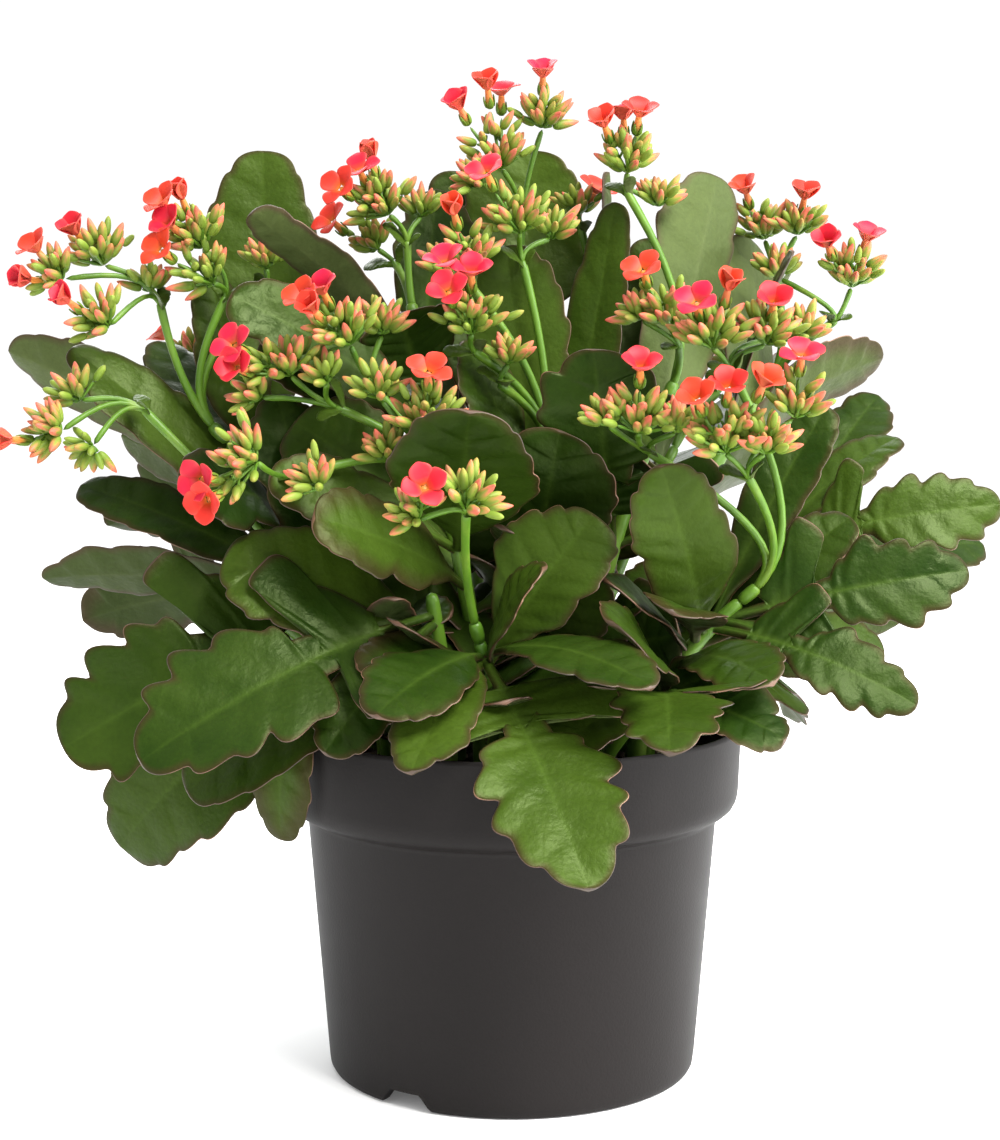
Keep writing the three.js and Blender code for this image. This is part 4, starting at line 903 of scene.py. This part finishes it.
def add_side_buds(shape, fork, facing, toward, chance):
    """Buds on either side of an open flower, from one place on its stalk."""
    for index in range(SIDE_BUDS):
        out = turned(toward, facing, 2 * math.pi * (index + chance.uniform(-0.2, 0.2)) / SIDE_BUDS)
        way = unit(facing + out * chance.uniform(0.65, 1.0))
        age = min(1, max(0, chance.gauss(0.6, 0.25)))
        base = fork + way * chance.uniform(2.6, 3.8)
        add_tube(shape, [fork, (fork + base) / 2, base], [0.5, 0.45, 0.6], 5, STALK)
        add_bud(shape, base, way, 4.6 + 2.6 * age, age, chance)


def bud_directions(axis, count, flowers, chance):
    """Directions spread evenly over a dome, apart from those that the flowers take."""
    side = square_to(axis, vector((0.2, 0.5, 0.9)))
    other = np.cross(axis, side)
    start = chance.uniform(0, 2 * math.pi)
    ways = []
    for index in range(count):
        lean = math.acos(1 - (index + 0.5) / count * BUD_DOME)
        angle = start + index * GOLDEN_ANGLE
        way = axis * math.cos(lean) + (side * math.cos(angle) + other * math.sin(angle)) * math.sin(lean)
        way = unit(way + UP * 0.22 + vector([chance.gauss(0, 0.09) for _ in range(3)]))
        if all(np.dot(way, flower) < FLOWER_ROOM for flower in flowers):
            ways.append(way)
    return ways


def add_umbel(shape, fork, along, umbel, chance):
    place, reach, facing, bud_count, faces = umbel
    hub = vector(place)
    axis = unit(vector(facing))
    span = np.linalg.norm(hub - fork)
    bend = fork + along * span * 0.45
    middles = [bezier(fork, bend, hub, step / 4) for step in range(5)]
    add_tube(shape, middles, [RAY_RADIUS * share for share in RAY_SHARES], 7, STALK)
    ways = [unit(vector(face) - hub) for face in faces]
    for face in faces:
        add_flower(shape, hub, vector(face), chance)
    for way in bud_directions(axis, round(bud_count * BUDS_FOR_EACH) + MORE_BUDS, ways, chance):
        age = min(1, max(0, chance.gauss(0.55, 0.32)))
        length = 5 + 3.2 * age + chance.uniform(-0.4, 0.4)
        whole = reach * chance.uniform(0.6, 1.04)
        start = max(whole - length, 2.2)
        base = hub + way * start
        add_tube(shape, [hub, hub + way * start * 0.6, base], BUD_STALK_RADII, 5, STALK)
        add_bud(shape, base, way, length, age, chance)


def add_head(shape, name, chance):
    start, bend, tip = stem_curve(name)
    axis = unit(tip - bend)
    hub = tip + axis * COLLAR_LENGTH
    add_tube(shape, [tip - axis * 2, hub, hub + axis * 1.5], [STEM_TIP_RADIUS, 2.2, 1.6], 8, STALK)
    for fork_place, umbels in SPRAYS[name]:
        fork = vector(fork_place)
        span = np.linalg.norm(fork - hub)
        bow = hub + axis * STALK_BOW * span
        middles = [bezier(hub, bow, fork, step / 6) for step in range(7)]
        along = unit(fork - bow)
        middles.append(fork + along)
        add_tube(shape, middles, [STALK_RADIUS * share for share in STALK_SHARES], 8, STALK)
        add_bracts(shape, fork, along, chance)
        for umbel in umbels:
            add_umbel(shape, fork, along, umbel, chance)


def add_bracts(shape, fork, along, chance):
    """Two small leaves, opposite each other, just below a fork."""
    base = fork - along * 1.5
    side = square_to(along, vector([chance.gauss(0, 1), chance.gauss(0, 1), 0.1]))
    for hand in (-1, 1):
        length = chance.uniform(*BRACT_LENGTHS)
        tip = base + unit(side * hand + along * 0.9 + vector((0, -0.3, 0.2))) * length
        tone = chance.uniform(0.9, 1.3)
        add_leaf(shape, base, tip, length / 2, "oval", 0.45, 0.8, chance, tone, 0, LEAF_TOP, SMALL_LEAF)


# ---------------------------------------------------------------- materials
# A leaf's dark and light flesh, its midrib and its margin.
LEAF_TOP_COLOURS = [
    (0.0048, 0.0152, 0.0012, 1), (0.028, 0.051, 0.0044, 1), (0.050, 0.090, 0.011, 1),
    (0.024, 0.012, 0.006, 1),
]
LEAF_UNDER_COLOURS = [
    (0.022, 0.035, 0.009, 1), (0.050, 0.068, 0.020, 1), (0.080, 0.100, 0.036, 1),
    (0.045, 0.022, 0.018, 1),
]


def new_material(name, **settings):
    """A material with its tree, its shader, and the shader's plain settings."""
    material = bpy.data.materials.new(name)
    material.use_nodes = True
    tree = material.node_tree
    shader = tree.nodes["Principled BSDF"]
    for key, value in settings.items():
        shader.inputs[key.replace("_", " ")].default_value = value
    return material, tree, shader


def add_node(tree, kind, inputs=(), **properties):
    made = tree.nodes.new(kind)
    for key, value in properties.items():
        setattr(made, key, value)
    for key, value in dict(inputs).items():
        if isinstance(value, bpy.types.NodeSocket):
            tree.links.new(value, made.inputs[key])
        else:
            made.inputs[key].default_value = value
    return made


def noise_value(tree, scale, detail=2.0, roughness=0.5, stretch=None):
    """Noise over the piece's own coordinates, which are in metres."""
    place = add_node(tree, "ShaderNodeTexCoord").outputs["Object"]
    if stretch:
        place = add_node(tree, "ShaderNodeMapping", {"Vector": place, "Scale": stretch}).outputs["Vector"]
    inputs = {"Vector": place, "Scale": scale, "Detail": detail, "Roughness": roughness}
    return add_node(tree, "ShaderNodeTexNoise", inputs).outputs["Fac"]


def ramp(tree, value, stops):
    """A colour ramp with [place, colour] stops."""
    made = add_node(tree, "ShaderNodeValToRGB", {"Fac": value})
    elements = made.color_ramp.elements
    while len(elements) < len(stops):
        elements.new(0.5)
    for element, (place, colour) in zip(elements, stops):
        element.position = place
        element.color = colour
    return made.outputs["Color"]


def mix_colour(tree, share, one, other, blend="MIX"):
    made = add_node(tree, "ShaderNodeMix", {0: share, 6: one, 7: other}, data_type="RGBA", blend_type=blend)
    return made.outputs[2]


def calculate(tree, operation, one, other, clamp=False):
    inputs = {0: one, 1: other}
    return add_node(tree, "ShaderNodeMath", inputs, operation=operation, use_clamp=clamp).outputs[0]


def look_values(tree):
    """A leaf's own values: nearness to its margin and to its midrib, and its tone."""
    look = add_node(tree, "ShaderNodeAttribute", attribute_name="look").outputs["Color"]
    return add_node(tree, "ShaderNodeSeparateColor", {"Color": look}).outputs


def bump(tree, shader, height, distance, strength=1.0, under=None):
    inputs = {"Height": height, "Distance": distance, "Strength": strength}
    if under:
        inputs["Normal"] = under
    normal = add_node(tree, "ShaderNodeBump", inputs).outputs["Normal"]
    tree.links.new(normal, shader.inputs["Normal"])
    return normal


def grey_ramp(tree, value, *stops):
    """A ramp of greys with (place, level) stops."""
    return ramp(tree, value, [(place, (level, level, level, 1)) for place, level in stops])


def leaf_material(name, dark, light, rib, margin, roughness):
    """Green flesh with paler patches, a paler midrib, a darker margin and a fine grain."""
    material, tree, shader = new_material(name, Specular_IOR_Level=0.15, Specular_Tint=(0.8, 1, 0.45, 1))
    near_margin, near_rib, tone = look_values(tree)
    patches = noise_value(tree, 45, detail=3, roughness=0.6)
    grain = noise_value(tree, 900, detail=2)
    mottled = calculate(tree, "MULTIPLY", patches, 0.6)
    mottled = calculate(tree, "ADD", calculate(tree, "MULTIPLY", tone, 0.55), mottled)
    flesh = ramp(tree, mottled, [(0.22, dark), (0.85, light)])
    flesh = mix_colour(tree, calculate(tree, "MULTIPLY", near_rib, 0.5), flesh, rib)
    edge = calculate(tree, "MULTIPLY", near_margin, calculate(tree, "ADD", patches, 0.45), clamp=True)
    flesh = mix_colour(tree, grey_ramp(tree, edge, (0.25, 0), (0.85, 0.75)), flesh, margin)
    shade = grey_ramp(tree, grain, (0.35, 0.35), (0.65, 0.75))
    flesh = mix_colour(tree, 0.18, flesh, shade, "OVERLAY")
    tree.links.new(flesh, shader.inputs["Base Color"])
    sheen = grey_ramp(tree, patches, (0.3, roughness - 0.07), (0.7, roughness + 0.1))
    tree.links.new(sheen, shader.inputs["Roughness"])
    pucker = bump(tree, shader, noise_value(tree, 160, detail=2), 0.0009, 0.5)
    bump(tree, shader, grain, 0.00025, 0.45, under=pucker)
    return material


def rim_material():
    material, tree, shader = new_material("leaf_rim", Roughness=0.5)
    colour = ramp(tree, noise_value(tree, 60, detail=3), [
        (0.3, (0.022, 0.014, 0.006, 1)), (0.52, (0.06, 0.027, 0.012, 1)), (0.75, (0.20, 0.10, 0.055, 1)),
    ])
    tree.links.new(colour, shader.inputs["Base Color"])
    return material


def stalk_material():
    material, tree, shader = new_material("stalk", Roughness=0.42, Specular_IOR_Level=0.3)
    streaks = noise_value(tree, 140, detail=3, stretch=(1, 1, 0.25))
    colour = ramp(tree, streaks, [
        (0.25, (0.036, 0.095, 0.006, 1)), (0.55, (0.075, 0.16, 0.011, 1)), (0.8, (0.14, 0.21, 0.028, 1)),
    ])
    tree.links.new(colour, shader.inputs["Base Color"])
    bump(tree, shader, noise_value(tree, 500), 0.0002, 0.4)
    return material


def bloom_material():
    """Petals, sepals and buds: their own colours, finely mottled."""
    material, tree, shader = new_material("bloom", Roughness=0.5, Specular_IOR_Level=0.2)
    look = add_node(tree, "ShaderNodeAttribute", attribute_name="look").outputs["Color"]
    mottle = noise_value(tree, 400, detail=1)
    colour = mix_colour(tree, 0.4, look, grey_ramp(tree, mottle, (0.3, 0.36), (0.7, 0.66)), "SOFT_LIGHT")
    tree.links.new(colour, shader.inputs["Base Color"])
    bump(tree, shader, mottle, 0.0001, 0.2)
    return material


def pot_material():
    """Matte moulded plastic, dark warm grey, with a fine grain and faint cloudy wear."""
    material, tree, shader = new_material("pot", Specular_IOR_Level=0.1)
    cloud = noise_value(tree, 14, detail=4, roughness=0.6)
    colour = ramp(tree, cloud, [(0.3, (0.0072, 0.0061, 0.0058, 1)), (0.7, (0.0096, 0.0081, 0.0078, 1))])
    speck = noise_value(tree, 1400, detail=1)
    colour = mix_colour(tree, 0.1, colour, grey_ramp(tree, speck, (0.4, 0.3), (0.6, 0.7)), "OVERLAY")
    tree.links.new(colour, shader.inputs["Base Color"])
    sheen = grey_ramp(tree, cloud, (0.3, 0.46), (0.7, 0.58))
    tree.links.new(sheen, shader.inputs["Roughness"])
    bump(tree, shader, speck, 0.00012, 0.35)
    return material


def soil_material(name, dark, light):
    material, tree, shader = new_material(name, Roughness=0.92)
    crumbs = noise_value(tree, 320, detail=5, roughness=0.7)
    tree.links.new(ramp(tree, crumbs, [(0.3, dark), (0.7, light)]), shader.inputs["Base Color"])
    bump(tree, shader, crumbs, 0.001, 0.8)
    return material


def floor_material():
    """Near-white ground that glows faintly, which makes the shadow on it paler."""
    material, tree, shader = new_material(
        "floor", Roughness=0.95, Specular_IOR_Level=0.1, Emission_Color=(1, 1, 1, 1), Emission_Strength=0.1,
    )
    colour = grey_ramp(tree, noise_value(tree, 3, detail=1), (0.3, 0.95), (0.7, 0.96))
    tree.links.new(colour, shader.inputs["Base Color"])
    return material


# ---------------------------------------------------------------- pieces
def finish_piece(piece, slot, *nodes):
    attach(piece, "root")
    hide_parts(*nodes)


def lathe(shape, section, sides):
    """A closed form turned about +Z from [radius, height] points, which start and end on the axis."""
    first = shape.point(UP * section[0][1])
    rings = [add_ring(shape, UP * height, UP, RIGHT, radius, sides) for radius, height in section[1:-1]]
    last = shape.point(UP * section[-1][1])
    for low, high in zip(rings, rings[1:]):
        shape.bridge(low, high, 0)
    for side in range(sides):
        after = (side + 1) % sides
        shape.face((first, rings[0][after], rings[0][side]), 0)
        shape.face((last, rings[-1][side], rings[-1][after]), 0)


def cut_away(piece, cutter):
    """Cuts one object's form out of another, and removes the cutter."""
    cut = piece.modifiers.new("cut", "BOOLEAN")
    cut.operation = "DIFFERENCE"
    cut.solver = "EXACT"
    cut.object = cutter
    evaluated = piece.evaluated_get(bpy.context.evaluated_depsgraph_get())
    mesh = bpy.data.meshes.new_from_object(evaluated)
    piece.modifiers.remove(cut)
    piece.data = mesh
    bpy.data.objects.remove(cutter)


def drain_cutter(angle, material):
    x, y = DRAIN_CIRCLE * math.cos(angle), DRAIN_CIRCLE * math.sin(angle)
    shape = Shape()
    shape.skin([
        add_ring(shape, vector((x, y, height)), UP, RIGHT, DRAIN_RADIUS, DRAIN_SIDES)
        for height in (FLOOR_UNDER - 1, FLOOR_TOP + 1)
    ], 0)
    return shape.piece("drain", [material], levels=0)


def notch_cutter(degrees, material):
    out = turned(RIGHT, UP, math.radians(degrees))
    side = np.cross(UP, out)
    outline = NOTCH_SIDE + [(-across, height) for across, height in reversed(NOTCH_SIDE)]
    shape = Shape()
    shape.skin([
        [shape.point(out * radius + side * across + UP * height) for across, height in outline]
        for radius in (FOOT_RADIUS - NOTCH_REACH / 2, FOOT_RADIUS + NOTCH_REACH / 2)
    ], 0)
    return shape.piece("notch", [material], levels=0)


def add_pot(material):
    shape = Shape()
    lathe(shape, POT_SECTION, POT_SIDES)
    pot = shape.piece("pot_body", [material], levels=0)
    for degrees in NOTCH_ANGLES:
        cut_away(pot, notch_cutter(degrees, material))
    for hole in range(DRAIN_COUNT):
        cut_away(pot, drain_cutter(2 * math.pi * hole / DRAIN_COUNT, material))
    pot.data.set_sharp_from_angle(angle=math.radians(SHARP_EDGE))
    finish_piece(pot, "pot", "pot")


def soil_height(x, y):
    spot = Vector((x, y, 0))
    return SOIL_TOP + SOIL_BUMP * (noise.noise(spot * 0.09) + 0.6 * noise.noise(spot * 0.31))


def add_soil(dark, pale):
    shape = Shape()
    surface = [[SOIL_RADIUS * ring / SOIL_RINGS, SOIL_TOP] for ring in range(SOIL_RINGS, -1, -1)]
    lathe(shape, SOIL_SECTION + surface, SOIL_SIDES)
    for index, place in enumerate(shape.points):
        if place[2] >= SOIL_TOP - 0.1:
            shape.points[index] = vector((place[0], place[1], soil_height(place[0], place[1])))
    chance = random.Random(SOIL_SEED)
    for _ in range(CRUMBS):
        radius, angle = CRUMBS_REACH * math.sqrt(chance.random()), chance.uniform(0, 2 * math.pi)
        x, y = radius * math.cos(angle), radius * math.sin(angle)
        size = chance.uniform(*CRUMB_SIZES)
        add_crumb(shape, x, y, size, int(chance.random() < PALE_CRUMBS), chance)
    finish_piece(shape.piece("soil_bed", [dark, pale]), "soil", "soil")


def add_crumb(shape, x, y, size, slot, chance):
    """A lump of soil: an uneven eight-sided form that the smoothing rounds."""
    middle = vector((x, y, soil_height(x, y) + size * 0.3))
    spin = chance.uniform(0, math.pi)
    corners = []
    for way in ((1, 0, 0), (0, 1, 0), (-1, 0, 0), (0, -1, 0), (0, 0, 1), (0, 0, -1)):
        reach = turned(vector(way), UP, spin) * size * chance.uniform(0.8, 1.5)
        corners.append(shape.point(middle + reach))
    for step in range(4):
        after = (step + 1) % 4
        shape.face((corners[step], corners[after], corners[4]), slot)
        shape.face((corners[after], corners[step], corners[5]), slot)


def add_inner_leaves(shape, number, name):
    """Small young leaves that fill the inside of the plant, beside the stem."""
    chance = random.Random(INNER_SEED + number)
    for index in range(INNER_LEAVES):
        root = bezier(*stem_curve(name), 0.1 + 0.7 * index / INNER_LEAVES)
        angle = index * GOLDEN_ANGLE + number
        rise = chance.uniform(-0.1, 0.9)
        tip = root + vector((math.cos(angle), math.sin(angle), rise)) * chance.uniform(*INNER_REACHES)
        if math.hypot(tip[0], tip[1]) > INNER_RADIUS or tip[2] > INNER_TOP or tip[2] < SOIL_TOP + 4:
            continue
        width = chance.uniform(*INNER_WIDTHS)
        tone = chance.uniform(0, 0.5)
        add_leaf(shape, root, tip, width, "oval", 0.4, 2, chance, tone, detail=SMALL_LEAF)


def add_stems(materials):
    """Each stem with its leaves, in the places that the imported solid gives."""
    for number, name in enumerate(STEMS):
        shape = Shape()
        add_stem(shape, name)
        tree = packed_corners("stem_" + name)
        for index, leaf in enumerate(leaf for leaf in LEAVES if leaf[0] == name):
            root, tip, scale = packed_leaf(tree, leaf)
            if tip is None:
                print("no place for leaf", name, index)
                continue
            _, height, _, width, kind, turn, bow = leaf
            if (name, height) == TIPPED_LEAF:
                turn = TIPPED_TURN
            chance = random.Random(LEAF_SEEDS * number + index)
            tone = chance.random()
            band = BRONZED_BAND if chance.random() < BRONZED else MARGIN_BAND
            add_leaf(shape, root, tip, width * scale, kind, turn, bow, chance, tone, band=band)
        add_inner_leaves(shape, number, name)
        finish_piece(shape.piece("leaves_" + name, materials), "leaf", "stem_" + name)


def add_heads(materials):
    for number, name in enumerate(SPRAYS):
        shape = Shape()
        add_head(shape, name, random.Random(HEAD_SEED + number))
        finish_piece(shape.piece("blooms_" + name, materials), "flower", "head_" + name)


# ---------------------------------------------------------------- stage
def add_camera():
    data = bpy.data.cameras.new("camera")
    data.sensor_fit = "VERTICAL"
    data.sensor_height = SENSOR
    data.lens = FOCAL_PIXELS * SENSOR / FRAME_HEIGHT_PIXELS
    data.clip_start = CLIP_START * MM
    camera = bpy.data.objects.new("camera", data)
    camera.location = Vector(CAMERA_PLACE) * MM
    camera.rotation_euler = (math.pi / 2 - CAMERA_PITCH_DOWN, 0, 0)
    bpy.context.scene.collection.objects.link(camera)
    bpy.context.scene.camera = camera


def add_lights():
    for name, place, target, (width, height), power, colour in LIGHTS:
        data = bpy.data.lights.new(name, "AREA")
        data.shape = "RECTANGLE"
        data.size = width * MM
        data.size_y = height * MM
        data.energy = power
        data.color = colour
        light = bpy.data.objects.new(name, data)
        light.location = Vector(place) * MM
        look = (Vector(target) - Vector(place)).to_track_quat("-Z", "Y")
        light.rotation_euler = look.to_euler()
        bpy.context.scene.collection.objects.link(light)
    world = bpy.data.worlds.new("studio")
    world.use_nodes = True
    background = world.node_tree.nodes["Background"]
    background.inputs["Color"].default_value = (1, 1, 1, 1)
    background.inputs["Strength"].default_value = WORLD_STRENGTH
    bpy.context.scene.world = world
    bpy.context.scene.view_settings.view_transform = "Standard"


def add_floor():
    shape = Shape()
    shape.face(tuple(add_ring(shape, vector((0, 0, 0)), UP, RIGHT, FLOOR_RADIUS, FLOOR_SIDES)), 0)
    floor = shape.piece("floor", [floor_material()], levels=0)


add_camera()
add_lights()
add_floor()
add_pot(pot_material())
add_soil(
    soil_material("soil", (0.018, 0.010, 0.006, 1), (0.075, 0.045, 0.025, 1)),
    soil_material("crumb", (0.10, 0.07, 0.045, 1), (0.32, 0.27, 0.20, 1)),
)
PLANT_MATERIALS = [
    leaf_material("leaf_top", *LEAF_TOP_COLOURS, 0.38),
    leaf_material("leaf_under", *LEAF_UNDER_COLOURS, 0.48),
    rim_material(),
    stalk_material(),
    bloom_material(),
]
add_stems(PLANT_MATERIALS)
add_heads(PLANT_MATERIALS)
